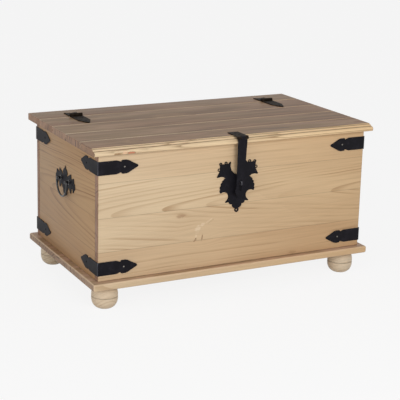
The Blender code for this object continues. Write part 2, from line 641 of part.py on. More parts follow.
def build_escutcheon_and_staple(front):
    half, height = ESCUTCHEON_WIDTH / 2, ESCUTCHEON_HEIGHT
    foot = staple_level() - ESCUTCHEON_BELOW_STAPLE
    level = ESCUTCHEON_BELOW_STAPLE
    leg = STAPLE_HEIGHT / 2 - STAPLE_WIRE_RADIUS
    holes = [circle((0, level + side * leg), STAPLE_WIRE_RADIUS + SEAT_GAP) for side in (-1, 1)]
    for across, up, radius in LOOP_HOLE_SHARES:
        for side in (-1, 1) if across else (1,):
            holes.append(circle((side * across * half, up * height), radius))
    bm = bmesh.new()
    slab(bm, mirrored_outline(ESCUTCHEON_SHARES, half, height), holes, SEAT_GAP, SEAT_GAP + ESCUTCHEON_PLATE,
         facing_front)
    add("escutcheon", mesh_from(bm, "escutcheon"), iron("escutcheon"), (0, FRONT_FACE, foot))

    lean = hasp_lean()
    down = (HASP_AXIS.z - staple_level()) / math.cos(lean)
    inner_face = FRONT_FACE - HASP_AXIS.y - HASP_PLATE / 2 - down * math.sin(lean)
    crown = inner_face + STAPLE_PAST_HASP - STAPLE_WIRE_RADIUS
    bend = STAPLE_BEND_RADIUS
    upper = rounded_corner((crown - bend, leg - bend), bend, 90, 0, STAPLE_BEND_STEPS)
    lower = rounded_corner((crown - bend, bend - leg), bend, 0, -90, STAPLE_BEND_STEPS)
    line = [(-STAPLE_LEG, leg), *upper, *lower, (-STAPLE_LEG, -leg)]
    rod("staple", [(0, -out, up) for out, up in line], STAPLE_WIRE_RADIUS, iron("staple"),
        (0, FRONT_FACE, staple_level()))
    reach, radius = STAPLE_LEG + SEAT_GAP, STAPLE_WIRE_RADIUS + SEAT_GAP
    for name, side in (("upper", 1), ("lower", -1)):
        hole = cylinder_mesh("staple_hole", radius, -CUT_OVERRUN, reach, HOLE_SIDES, "Y")
        place = (0, FRONT_FACE, staple_level() + side * leg)
        use_boolean(front, add("staple_hole_" + name, hole, wood("staple_hole"), place), "DIFFERENCE")


def post_mesh():
    """A turned post of the drop handle, standing out from the plate along X, with a ball end for the eye."""
    base, shoulder = HANDLE_PLATE / 2, HANDLE_PLATE + POST_COLLAR_HEIGHT
    profile = [(0, base), (POST_COLLAR_RADIUS, base), (POST_COLLAR_RADIUS, shoulder - POST_COLLAR_HEIGHT / 2),
               (POST_RADIUS, shoulder)]
    ball = rounded_corner((0, BAIL_STAND_OFF), POST_EYE_RADIUS, POST_BALL_FROM, 90, POST_BALL_STEPS)
    profile += ball[:-1] + [(0, BAIL_STAND_OFF + POST_EYE_RADIUS)]
    post = turned_mesh("handle_post", profile, POST_SIDES)
    for vert in post.vertices:
        vert.co = Vector((vert.co.z, vert.co.y, -vert.co.x))
    return post


def bail_line():
    """Centre line of the bail from the tip of one end through the post, round the drop and back."""
    bend = BAIL_BEND_RADIUS
    start = POST_SPREAD + POST_EYE_RADIUS + BAIL_SIDE_CLEARANCE + bend
    inner = POST_SPREAD - POST_EYE_RADIUS - BAIL_RADIUS
    corner = rounded_corner((start - bend, -bend), bend, 90, 0, BAIL_BEND_STEPS)
    drop = BAIL_DROP - BAIL_RADIUS - bend
    half = [(inner, 0), *corner]
    for step in range(1, BAIL_STEPS // 2 + 1):
        angle = math.pi / 2 * step / (BAIL_STEPS // 2)
        half.append((start * math.cos(angle), -bend - drop * math.sin(angle)))
    half[-1] = (0, -bend - drop)
    whole = half + [(-across, up) for across, up in reversed(half[:-1])]
    return [(0, across, up) for across, up in whole]


def build_handles(bail_axes):
    outline = mirrored_outline(HANDLE_SHARES, HANDLE_WIDTH / 2, HANDLE_HEIGHT)
    reach = POST_EYE_RADIUS + CUT_OVERRUN
    for (name, side), axis in zip((("left", -1), ("right", 1)), bail_axes):
        face = (side * BODY_WIDTH / 2, CENTRE_Y, HANDLE_LEVEL)
        turn = math.pi if side < 0 else 0.0
        bm = bmesh.new()
        slab(bm, outline, [], SEAT_GAP, HANDLE_PLATE, facing_right)
        finish = iron("handle_plate_" + name)
        plate = add("handle_plate_" + name, mesh_from(bm, "handle_plate"), finish, face, turn)
        for end_name, end in (("front", -1), ("back", 1)):
            y = CENTRE_Y + end * POST_SPREAD
            post = add("post_%s_%s" % (name, end_name), post_mesh(), finish, (face[0], y, BAIL_LEVEL), turn)
            use_boolean(plate, post, "UNION")
            bore = cylinder_mesh("eye", BAIL_RADIUS + SEAT_GAP, -reach, reach, POST_SIDES, "Y")
            eye = add("eye_%s_%s" % (name, end_name), bore, finish, (axis.location.x, y, BAIL_LEVEL))
            use_boolean(plate, eye, "DIFFERENCE")
        rod("bail_" + name, bail_line(), BAIL_RADIUS, iron("bail_" + name), axis.location, axis=axis)


def strap_stations():
    """Along the strap from tip to tip: distance from the corner along the body, half height."""
    half = STRAP_HEIGHT / 2
    arm = [(share * STRAP_ARM, height_share * half) for share, height_share in STRAP_SHARES]
    return [(-along, high) for along, high in reversed(arm)], arm


def strap_mesh():
    """A flat strap bent round an upright corner at the origin, its arms along -X and +Y, outside the body."""
    before, after = strap_stations()
    inner, outer = SEAT_GAP, SEAT_GAP + STRAP_PLATE
    inner_bend = STRAP_PLATE / 4
    bend = Vector((inner - inner_bend, inner_bend - inner))
    sections = []
    for along, high in before:
        sections.append((Vector((along, -inner)), Vector((along, -outer)), high))
    half = STRAP_HEIGHT / 2
    for step in range(STRAP_BEND_STEPS + 1):
        angle = math.radians(-90 + 90 * step / STRAP_BEND_STEPS)
        spoke = Vector((math.cos(angle), math.sin(angle)))
        sections.append((bend + spoke * inner_bend, bend + spoke * (inner_bend + STRAP_PLATE), half))
    for along, high in after:
        sections.append((Vector((inner, along)), Vector((outer, along)), high))
    bm = bmesh.new()
    rings = []
    for inside, outside, high in sections:
        rings.append([bm.verts.new((*inside, -high)), bm.verts.new((*outside, -high)),
                      bm.verts.new((*outside, high)), bm.verts.new((*inside, high))])
    for first, second in zip(rings, rings[1:]):
        for index in range(4):
            after_index = (index + 1) % 4
            bm.faces.new((first[index], first[after_index], second[after_index], second[index]))
    bm.faces.new(rings[0])
    bm.faces.new(rings[-1])
    return mesh_from(bm, "corner_strap", smooth=True)


def build_corner_straps():
    strap = strap_mesh()
    corners = (("front_right", 1, -1, 0), ("back_right", 1, 1, 90), ("back_left", -1, 1, 180),
               ("front_left", -1, -1, 270))
    levels = (("lower", FLOOR_LEVEL + STRAP_END_DISTANCE), ("upper", RIM_LEVEL - STRAP_END_DISTANCE))
    for level_name, level in levels:
        for corner_name, side, end, turn in corners:
            name = "corner_strap_%s_%s" % (level_name, corner_name)
            place = (side * BODY_WIDTH / 2, CENTRE_Y + end * BODY_DEPTH / 2, level)
            add(name, strap, iron(name), place, math.radians(turn))


def build_chest():
    clear_scene()
    lid_axis = add_axis("lid_axis", LID_AXIS)
    hasp_axis = add_axis("hasp_axis", HASP_AXIS)
    reach = BODY_WIDTH / 2 + BAIL_STAND_OFF
    bail_axes = [add_axis("left_bail_axis", (-reach, CENTRE_Y, BAIL_LEVEL)),
                 add_axis("right_bail_axis", (reach, CENTRE_Y, BAIL_LEVEL))]
    build_feet_and_base()
    front = build_box()
    build_top(lid_axis)
    build_hinges(lid_axis)
    build_hasp(lid_axis, hasp_axis)
    build_escutcheon_and_staple(front)
    build_handles(bail_axes)
    build_corner_straps()


build_chest()
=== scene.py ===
"""Finish, fasteners, light and camera for a waxed pine blanket chest with black iron hardware.

Metres, +Z up, the front towards -Y. Boards, hinges, hasp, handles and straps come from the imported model.
Their arrises are eased here, and the feet, bails, staple, nails and screws are made finer.
"""
import json
import math
from typing import NamedTuple

import bmesh
import bpy
from mathutils import Matrix, Vector


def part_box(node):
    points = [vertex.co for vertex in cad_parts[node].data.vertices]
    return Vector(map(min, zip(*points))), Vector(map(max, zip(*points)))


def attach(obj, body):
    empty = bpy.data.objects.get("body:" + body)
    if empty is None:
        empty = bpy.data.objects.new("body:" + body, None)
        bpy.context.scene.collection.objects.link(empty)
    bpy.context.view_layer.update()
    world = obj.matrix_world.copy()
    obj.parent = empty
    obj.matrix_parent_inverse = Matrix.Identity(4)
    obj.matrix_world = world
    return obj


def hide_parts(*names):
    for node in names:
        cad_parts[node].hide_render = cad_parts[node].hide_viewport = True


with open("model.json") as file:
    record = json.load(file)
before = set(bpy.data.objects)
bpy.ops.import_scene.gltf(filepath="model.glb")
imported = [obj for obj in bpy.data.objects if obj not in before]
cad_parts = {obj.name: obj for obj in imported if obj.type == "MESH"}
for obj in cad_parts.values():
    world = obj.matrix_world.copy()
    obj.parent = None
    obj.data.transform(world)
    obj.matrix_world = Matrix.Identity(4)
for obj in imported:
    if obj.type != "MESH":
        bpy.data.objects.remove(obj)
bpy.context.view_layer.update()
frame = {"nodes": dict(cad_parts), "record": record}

# Camera, fitted to the photograph's corners: 36 mm film, picture 400 x 400
CAMERA_PLACE = (-1.6324, -3.0910, 1.2094)
CAMERA_PITCH = math.radians(13.96)
CAMERA_YAW = math.radians(-25.90)
CAMERA_ROLL = math.radians(1.0)
CAMERA_LENS = 105.94
CAMERA_SHIFT = (0.10, -0.10)

# Studio
BACKDROP_LEVEL = 0.92
WORLD_LEVEL = 0.40
FLOOR_SIZE = 60.0
FLOOR_GREY = 0.80
FLOOR_ROUGHNESS = 0.9
FLOOR_GLOW_SHARE = 0.88
FLOOR_GLOW = 0.985
LAMP_AIM = Vector((0, 0, 0.25))

# Meshes: angles, then edge radii, swells and plate thicknesses in metres
MERGE_DISTANCE = 0.00001
FLAT_ANGLE = math.radians(0.5)
SMOOTH_ANGLE = math.radians(32)
ARRIS_ANGLE = math.radians(40)
BAR_FACE_ANGLE = math.radians(10)
BAR_SHAPE_ANGLE = math.radians(60)
IRON_EDGE = 0.00035
BOARD_EDGE = 0.0010
BASE_EDGE = 0.0055
BASE_EDGE_STEPS = 4
NOSING_ROUND = 0.0055
NOSING_STEPS = 6
NOSING_CHAMFER_REACH = 0.004
BEND_RADIUS = 0.0018
BEND_STEPS = 3
BAIL_SWELL = 0.00030
STAPLE_SWELL = 0.00013
HINGE_PLATE = 0.002
HANDLE_PLATE = 0.002
POST_ROOT = 0.0005

# Feet
FOOT_SEAT_GAP = 0.0003
FOOT_GROOVE_WIDTH = 0.0022
FOOT_SHAPE = {"Cut Share": 0.90, "Fullness": 2.6, "Groove Width": FOOT_GROOVE_WIDTH,
              "Groove Depth": 0.0014, "Steps": 81, "Sides": 72}

# Fasteners: head shapes, and places on their plates in metres or as shares of the plate
HEAD_SEGMENTS = 20
HEAD_RINGS = 12
HEAD_UNDERSIDE = -0.30
STRAP_NAIL = {"radius": 0.0026, "height": 0.0014}
PLATE_NAIL = {"radius": 0.0021, "height": 0.0011}
SCREW = {"radius": 0.0034, "height": 0.0014, "slot_depth": 0.0007}
SLOT_WIDTH = 0.0008
SLOT_BLADE_RADII = 2.4
FASTENER_SEED = 7
STRAP_NAIL_PLACE = 0.0803
SCREW_PAIR = (-0.010, 0.010)
REAR_LEAF_SCREWS = ((0.030, SCREW_PAIR),)
FRONT_LEAF_SCREWS = ((0.032, SCREW_PAIR), (0.086, (0.0,)))
HASP_LEAF_SCREWS = (0.014, 0.038)
ESCUTCHEON_NAILS = ((-0.70, 0.83), (0.70, 0.83), (-0.55, 0.50), (0.55, 0.50), (0.0, 0.145))
HANDLE_NAILS = ((-0.80, 0.0), (0.80, 0.0), (0.0, 0.18), (0.0, -0.26))

# Fineness of the grain's patterns, per metre along a board, across it and through it
SWELL_FINENESS = (1.7, 5.0, 5.0)
RIPPLE_FINENESS = (7.0, 16.0, 16.0)
THINNING_FINENESS = (4.0, 26.0, 26.0)
FIBRE_FINENESS = (7, 420, 420)
PORE_FINENESS = (30, 1500, 1500)
PATCH_FINENESS = (1.6, 6.0, 6.0)
STREAK_FINENESS = (6.0, 42.0, 42.0)

# Growth rings: how far ripples swing them, how uneven they are, and how boards are spread over the log
RIPPLE_REACH = 0.0045
RING_UNEVENNESS = 1.6
RING_UNEVEN_SCALE = 0.45
LOG_SHIFT = (3.0, 0.0, 0.0)
PITH_SPREAD = (0.0, 0.09, 0.03)

# Ragged outlines of arrises and knots
ARRIS_RAGGED_SCALE = 60.0
KNOT_RAGGED_SCALE = 130.0
KNOT_RAGGEDNESS = 1.5

# Where a knot's looks set in and where they are whole, in shares of the way to its outline
KNOT_MASK_RISE = (1.15, 0.75)
KNOT_HALO_RISE = (2.6, 0.9)
KNOT_RIM_INSIDE = (0.70, 1.0)
KNOT_RIM_OUTSIDE = (1.45, 1.1)
KNOT_PUSH_RISE = (4.5, 0.6)

# Where each look sets in and where it is whole, on the value that brings it
RING_DARKENING = (0.45, 0.96)
RING_END = (1.0, 0.96)
THINNING_RISE = (0.34, 0.62)
UPWARD_RISE = (0.93, 0.995)
RIGHTWARD_FALLOFF_RISE = (-0.45, 0.55)
PATCH_RISE = (0.35, 0.65)
STREAK_RISE = (0.38, 0.62)
KNOT_FIBRE_RISE = (0.30, 0.62)
SAWN_FACE_RISE = (0.7, 0.8)
SAWN_RING_RISE = (0.02, 0.30)
SAWN_STAIN_RISE = (0.40, 0.60)
MOTTLE_RISE = (0.45, 0.75)

# Least strength of a ring, by chance and where the rings thin out, and the strength of the patches
WEAK_RING = 0.15
THIN_RING = 0.12
PATCH_ON_SIDE = 0.20
PATCH_ON_TOP = 0.75

# Shade and roughness at the two ends of the value that sets them
FIBRE_SHADE = (0.83, 1.17)
BOARD_SHADE = (0.975, 1.025)
LINE_SHADE = (1.0, 0.65)
PINE_ROUGHNESS = (0.40, 0.58)

# Dark lines of a board, at its joints and as painted shade in a foot's groove: half width, and half width
# at full strength
JOINT_LINE = (0.0009, 0.0002)
GROOVE_SHADE_LINE = (FOOT_GROOVE_WIDTH, 0.0004)

# Wax on pine, paint on iron, and the relief of both as strength and distance
WAX = {"Specular IOR Level": 0.18, "Coat Weight": 0.05, "Coat Roughness": 0.22}
MOTTLE_SCALE = 55.0
GRIT_SCALE = 900.0
PINE_RELIEF = (0.25, 0.0004)
IRON_RELIEF = (0.22, 0.0003)

# What latewood, pores and mottling add to height, roughness and brightness
LATEWOOD_HEIGHT = 0.8
PORE_HEIGHT = 0.5
MOTTLE_HEIGHT = 2.0
LATEWOOD_ROUGHNESS = -0.08
MOTTLE_ROUGHNESS = 0.22
MOTTLE_BRIGHTENING = 1.9
MOTTLE_LIFT = 0.004

# How a board lies: the axes along its grain, across its width and through its thickness
FRONT_LIE = (0, 2, 1)
TOP_LIE = (0, 1, 2)
END_LIE = (1, 2, 0)
BATTEN_LIE = (1, 0, 2)


def tint(red, green, blue):
    """A colour from its 0 to 255 screen values, as the linear value that a shader takes."""
    def linear(value):
        share = value / 255
        return share / 12.92 if share <= 0.04045 else ((share + 0.055) / 1.055) ** 2.4
    return (linear(red), linear(green), linear(blue), 1.0)


# Pine, as pairs of early wood and latewood
FRONT_TONES = (tint(214, 191, 158), tint(152, 114, 74))
# End panels and battens: darker than the front, as painted shade
END_SHADED_TONES = (tint(186, 152, 114), tint(132, 96, 64))
# Upward faces: darker and browner than the front, as painted shade
TOP_SHADED_TONES = (tint(168, 136, 106), tint(98, 69, 49))
# Top boards' other faces, mostly the V-grooves: paler than the front, a painted highlight along the seams
SEAM_HIGHLIGHT_TONES = (tint(220, 200, 174), tint(158, 130, 102))
# Nosing: golden wood, its early wood made paler as a painted highlight on the round
NOSING_HIGHLIGHT_TONES = (tint(234, 212, 176), tint(124, 90, 54))
FOOT_TONES = (tint(224, 207, 181), tint(184, 159, 125))
# The base board's upward faces: darker and pinker than its front, as painted shade
BASE_TOP_SHADED_TONES = (tint(206, 174, 150), tint(158, 126, 104))
SAWN_TONES = (tint(160, 120, 94), tint(50, 30, 24))
CORNER_SAWN_TONES = (tint(152, 114, 96), tint(116, 82, 70))
BASE_SAWN_TONES = (tint(162, 132, 110), tint(88, 64, 50))

# Stains that multiply the wood's colour, and the tint of a painted light falloff towards the right end
BLUSH = tint(246, 238, 232)
RIGHTWARD_FALLOFF_TINT = tint(255, 243, 228)
PATCH_STAIN = tint(204, 180, 162)
STREAK_STAIN = tint(222, 223, 206)
SAWN_STAIN = tint(214, 198, 182)

# Knots, and arrises: darker as wear and painted shade, or paler as a painted highlight
KNOT_HALO = tint(188, 148, 106)
KNOT_RIM = tint(112, 78, 54)
PLAIN_CORE = tint(150, 112, 82)
PALE_CORE = tint(226, 203, 172)
DARK_CORE = tint(132, 98, 68)
RED_CORE = tint(194, 106, 76)
ROSE_CORE = tint(230, 188, 152)
BROWN_CORE = tint(140, 100, 60)
TAN_CORE = tint(172, 132, 96)
FAINT_CORE = tint(160, 128, 98)
SMALL_CORE = tint(150, 112, 80)
OLIVE_CORE = tint(104, 80, 54)
UMBER_CORE = tint(110, 78, 56)
RUST_CORE = tint(120, 70, 48)
DUN_CORE = tint(112, 86, 60)
SHADED_WORN_ARRIS = tint(104, 72, 54)
# Pale arris: a painted highlight on the base's rounded top edge
HIGHLIGHT_ARRIS = tint(224, 197, 170)


class Board(NamedTuple):
    """One board of a glued panel: strength of its lines, pinkness, tone, slope of the lines, ring width."""
    grain: float = 0.60
    blush: float = 0.2
    tone: float = 1.0
    climb: float = 0.035
    ring: float = 0.0115


class Knot(NamedTuple):
    """A knot or mark, in metres from the middle of its board; the turn is in radians.

    The half depth is far larger than a board where the mark goes right through.
    """
    along: float
    across: float
    half_length: float
    half_width: float
    turn: float = 0.0
    core: tuple = PLAIN_CORE
    core_share: float = 0.45
    rim_share: float = 0.0
    halo_share: float = 0.0
    bend: float = 0.0
    through: float = 0.0
    half_depth: float = 1.0


class Stock(NamedTuple):
    """How a board or a glued panel is cut from the log, marked, worn, coloured and given painted shade and
    highlights.

    Joints and grooves are places across it, from its middle, and its boards follow in the same order.
    The pith lies (across, through) from the middle.
    """
    lie: tuple
    tones: tuple
    seed: int
    joints: tuple = ()
    boards: tuple = (Board(),)
    knots: tuple = ()
    grooves: tuple = ()
    pith: tuple = (0.02, -0.055)
    wave: float = 0.030
    # Share of the painted light falloff: warmer and darker towards the right end
    falloff_share: float = 1.0
    # Tones of the upward faces, darker as painted shade
    top: tuple = TOP_SHADED_TONES
    sawn: tuple = SAWN_TONES
    sawn_share: float = 0.85
    # Arrises: darker as wear and painted shade at corners and under the nosing, or paler as a painted
    # highlight
    arris: float = 0.35
    arris_tone: tuple = SHADED_WORN_ARRIS
    arris_width: float = 0.0024


def ringed_knot(along, across, half_length, half_width, core, core_share, rim_share=0.1, halo_share=0.2):
    """A sound knot that the grain bends round."""
    return Knot(along, across, half_length, half_width, core=core, core_share=core_share,
                rim_share=rim_share, halo_share=halo_share, bend=0.75)


PANEL_JOINTS = (-0.097, 0.001, 0.100)
BASE_JOINTS = (-0.13, 0.0, 0.13)
FRONT_BOARDS = (Board(0.45, 0.8, 0.985, 0.02, 0.013), Board(0.60, 0.05, 1.03, -0.10, 0.012),
                Board(0.68, 0.0, 0.995, -0.05, 0.0085), Board(0.28, 0.1, 0.985, -0.02, 0.0105))
END_BOARDS = (Board(0.60, 0.5, 1.0, 0.03, 0.014), Board(0.75, 0.2, 1.0, 0.08, 0.011),
              Board(1.0, 0.0, 1.0, 0.06, 0.0085), Board(1.0, 0.0, 1.0, 0.05, 0.0085))
BASE_BOARDS = (Board(0.6, 0.4, 1.02), Board(tone=0.93), Board(0.5, 0.3, 0.95), Board(tone=0.93))

# A branch knot of several strands, and two small sound ones
FRONT_KNOTS = (
    Knot(-0.115, -0.078, 0.022, 0.012, core_share=0.0, bend=0.75),
    Knot(-0.124, -0.072, 0.010, 0.0068, 0.5, PALE_CORE, 0.75),
    Knot(-0.109, -0.063, 0.009, 0.0052, 0.7, PALE_CORE, 0.75),
    Knot(-0.087, -0.047, 0.015, 0.0026, 0.8, PALE_CORE, 0.55),
    Knot(-0.083, -0.052, 0.014, 0.0012, 0.8, DARK_CORE, 0.40),
    Knot(-0.133, -0.0855, 0.007, 0.0022, 0.55, DARK_CORE, 0.85),
    Knot(-0.110, -0.0830, 0.005, 0.0022, 1.2, DARK_CORE, 0.80),
    ringed_knot(-0.180, -0.018, 0.013, 0.0055, FAINT_CORE, 0.75, halo_share=0.1),
    ringed_knot(0.198, -0.174, 0.011, 0.004, SMALL_CORE, 0.6, halo_share=0.1))

# Coloured marks along the moulded nosing, and sound knots on the lid
LID_KNOTS = {
    "lid_board_front": (
        Knot(-0.344, -0.053, 0.011, 0.008, core=RED_CORE, core_share=0.85, rim_share=0.5,
             through=-0.0070, half_depth=0.0040),
        Knot(-0.362, -0.053, 0.008, 0.008, core=ROSE_CORE, core_share=0.85, rim_share=0.1,
             through=-0.0040, half_depth=0.0045),
        Knot(-0.383, -0.053, 0.014, 0.008, core=BROWN_CORE, core_share=0.85,
             through=-0.0075, half_depth=0.0036),
        Knot(-0.375, -0.047, 0.030, 0.008, core=TAN_CORE, core_share=0.55,
             through=0.0030, half_depth=0.0030),
        ringed_knot(-0.298, 0.012, 0.022, 0.010, OLIVE_CORE, 0.7),
        ringed_knot(0.004, 0.014, 0.014, 0.012, UMBER_CORE, 0.6),
        ringed_knot(0.430, -0.005, 0.012, 0.008, RUST_CORE, 0.7, rim_share=0.3)),
    "lid_board_third": (ringed_knot(0.246, -0.038, 0.020, 0.008, UMBER_CORE, 0.7),),
    "lid_board_rear": (ringed_knot(-0.060, -0.030, 0.030, 0.012, DUN_CORE, 0.5, rim_share=0.0),)}

# The front and back panels' arrises darken strongly: painted shade at the corners and along the bottom
FRONT_STOCK = Stock(FRONT_LIE, FRONT_TONES, 3, PANEL_JOINTS, FRONT_BOARDS, FRONT_KNOTS,
                    arris=0.75, sawn=CORNER_SAWN_TONES)
BACK_STOCK = FRONT_STOCK._replace(seed=21, knots=())
LEFT_STOCK = Stock(END_LIE, END_SHADED_TONES, 34, PANEL_JOINTS, END_BOARDS, arris=0.0)
RIGHT_STOCK = LEFT_STOCK._replace(seed=45)
# The base's upward faces take darker tones as painted shade, and its rounded arris a pale one as a painted
# highlight
BASE_STOCK = Stock(TOP_LIE, FRONT_TONES, 56, BASE_JOINTS, BASE_BOARDS, top=BASE_TOP_SHADED_TONES,
                   sawn=BASE_SAWN_TONES, arris=0.40, arris_tone=HIGHLIGHT_ARRIS, arris_width=0.0050)
TOP_STOCK = Stock(TOP_LIE, SEAM_HIGHLIGHT_TONES, 70, pith=(0.10, -0.02))
TOP_BOARD = Board(0.9, 0.2, 1.0, 0.02, 0.011)
TOP_BOARD_TONES = {"rear_top_board": 0.97, "lid_board_rear": 1.0, "lid_board_second": 1.0,
                   "lid_board_third": 0.97}
# The nosing's lower arris darkens: painted shadow under the lid's overhang
NOSING_STOCK = Stock(TOP_LIE, NOSING_HIGHLIGHT_TONES, 74, boards=(Board(0.9, 0.2, 0.98, 0.02, 0.0038),),
                     knots=LID_KNOTS["lid_board_front"], pith=(0.03, -0.05), arris=0.8)
BATTEN_STOCK = Stock(BATTEN_LIE, END_SHADED_TONES, 80)
FOOT_STOCK = Stock(FRONT_LIE, FOOT_TONES, 90, boards=(Board(0.9, ring=0.0075),), pith=(0.06, 0.03),
                   wave=0.006, falloff_share=0.0, sawn_share=0.0, arris=0.0)


class Graph:
    """A node tree with short calls for what the finishes and the fasteners use."""

    def __init__(self, tree):
        self.tree = tree

    def feed(self, socket, value):
        if isinstance(value, bpy.types.NodeSocket):
            self.tree.links.new(value, socket)
        else:
            socket.default_value = value

    def node(self, kind, inputs=None, **settings):
        made = self.tree.nodes.new(kind)
        for name, value in settings.items():
            setattr(made, name, value)
        for key, value in (inputs or {}).items():
            self.feed(made.inputs[key], value)
        return made

    def maths(self, operation, *values, clamp=False):
        inputs = dict(enumerate(values))
        return self.node("ShaderNodeMath", inputs, operation=operation, use_clamp=clamp).outputs[0]

    def times(self, first, *others):
        """The product of all the values."""
        for other in others:
            first = self.maths("MULTIPLY", first, other)
        return first

    def span(self, value, low, high):
        """A value from 0 to 1, drawn out to run from low to high."""
        return self.maths("MULTIPLY_ADD", value, high - low, low)

    def apart(self, first, second):
        """How far apart two values are."""
        return self.maths("ABSOLUTE", self.maths("SUBTRACT", first, second))

    def rise(self, value, low, high):
        """0 below low, 1 above high and a smooth step between them; high may be the lower one."""
        inputs = {"Value": value, "From Min": low, "From Max": high}
        return self.node("ShaderNodeMapRange", inputs, interpolation_type="SMOOTHSTEP").outputs[0]

    def vector(self, operation, *values):
        made = self.node("ShaderNodeVectorMath", dict(enumerate(values)), operation=operation)
        return made.outputs["Value" if operation in ("LENGTH", "DOT_PRODUCT") else "Vector"]

    def split(self, vector):
        return self.node("ShaderNodeSeparateXYZ", {0: vector}).outputs

    def join(self, x, y, z):
        return self.node("ShaderNodeCombineXYZ", {0: x, 1: y, 2: z}).outputs[0]

    def noise(self, place, scale=1.0, detail=3.0, roughness=0.5):
        inputs = {"Vector": place, "Scale": scale, "Detail": detail, "Roughness": roughness}
        return self.node("ShaderNodeTexNoise", inputs).outputs[0]

    def drawn_noise(self, place, fineness, detail, roughness=0.5):
        return self.noise(self.vector("MULTIPLY", place, fineness), detail=detail, roughness=roughness)

    def chance(self, number):
        """A steady random value and colour for each whole number."""
        return self.node("ShaderNodeTexWhiteNoise", {"W": number}, noise_dimensions="1D").outputs

    def blend(self, share, first, second, kind="MIX"):
        inputs = {0: share, 6: first, 7: second}
        return self.node("ShaderNodeMix", inputs, data_type="RGBA", blend_type=kind).outputs[2]

    def stain(self, share, colour, stain):
        return self.blend(share, colour, stain, "MULTIPLY")

    def bump(self, height, strength, distance):
        inputs = {"Height": height, "Strength": strength, "Distance": distance}
        return self.node("ShaderNodeBump", inputs).outputs[0]


def new_group(name, kind, inputs, outputs):
    """An empty node group with named sockets; inputs are (name, socket type, value)."""
    tree = bpy.data.node_groups.new(name, kind)
    for label, socket_type, value in inputs:
        socket = tree.interface.new_socket(name=label, in_out="INPUT", socket_type=socket_type)
        if value is not None:
            socket.default_value = value
    for label, socket_type in outputs:
        tree.interface.new_socket(name=label, in_out="OUTPUT", socket_type=socket_type)
    graph = Graph(tree)
    return graph, graph.node("NodeGroupInput").outputs, graph.node("NodeGroupOutput").inputs


def new_material(name):
    """A material, its node graph and its shader."""
    material = bpy.data.materials.new(name)
    material.use_nodes = True
    return material, Graph(material.node_tree), material.node_tree.nodes["Principled BSDF"]


def set_values(shader, values):
    for label, value in values.items():
        shader.inputs[label].default_value = value


def pine_grain_group():
    """Growth rings round a pith beside the board, with fibres, patches, streaks and pores."""
    graph, given, result = new_group(
        "pine_grain", "ShaderNodeTree",
        [("Place", "NodeSocketVector", None), ("Pith", "NodeSocketVector", None),
         ("Ring Width", "NodeSocketFloat", 0.009), ("Taper", "NodeSocketFloat", 0.03),
         ("Wave", "NodeSocketFloat", 0.012)],
        [("Latewood", "NodeSocketFloat"), ("Fibre", "NodeSocketFloat"), ("Patch", "NodeSocketFloat"),
         ("Streak", "NodeSocketFloat"), ("Pore", "NodeSocketFloat")])
    place = given["Place"]

    # The number of rings from the pith, which the log's swellings and ripples set off to one side
    swell = graph.maths("SUBTRACT", graph.drawn_noise(place, SWELL_FINENESS, 1.0), 0.5)
    ripple = graph.maths("SUBTRACT", graph.drawn_noise(place, RIPPLE_FINENESS, 2.0), 0.5)
    swing = graph.times(swell, given["Wave"])
    swing = graph.maths("MULTIPLY_ADD", ripple, RIPPLE_REACH, swing)
    along, across, through = graph.split(graph.vector("SUBTRACT", place, given["Pith"]))
    across = graph.maths("ADD", across, swing)
    reach = graph.vector("LENGTH", graph.join(0.0, across, through))
    reach = graph.maths("MULTIPLY_ADD", along, given["Taper"], reach)
    count = graph.maths("DIVIDE", reach, given["Ring Width"])
    uneven = graph.noise(graph.join(count, 0.0, 0.0), scale=RING_UNEVEN_SCALE, detail=0.0)
    count = graph.maths("MULTIPLY_ADD", uneven, RING_UNEVENNESS, count)

    # Each ring darkens slowly to its latewood and ends sharply; some are weak, and all thin out in places
    whole = graph.maths("FLOOR", count)
    part = graph.maths("SUBTRACT", count, whole)
    dark = graph.times(graph.rise(part, *RING_DARKENING), graph.rise(part, *RING_END))
    luck = graph.chance(whole)["Value"]
    weight = graph.span(graph.times(luck, luck), WEAK_RING, 1.0)
    thinning = graph.rise(graph.drawn_noise(place, THINNING_FINENESS, 2.0), *THINNING_RISE)
    weight = graph.times(weight, graph.span(thinning, THIN_RING, 1.0))
    graph.feed(result["Latewood"], graph.times(dark, weight))
    graph.feed(result["Fibre"], graph.drawn_noise(place, FIBRE_FINENESS, 4.0, 0.6))
    graph.feed(result["Patch"], graph.drawn_noise(place, PATCH_FINENESS, 2.0))
    graph.feed(result["Streak"], graph.drawn_noise(place, STREAK_FINENESS, 3.0))
    graph.feed(result["Pore"], graph.drawn_noise(place, PORE_FINENESS, 2.0))
    return graph.tree


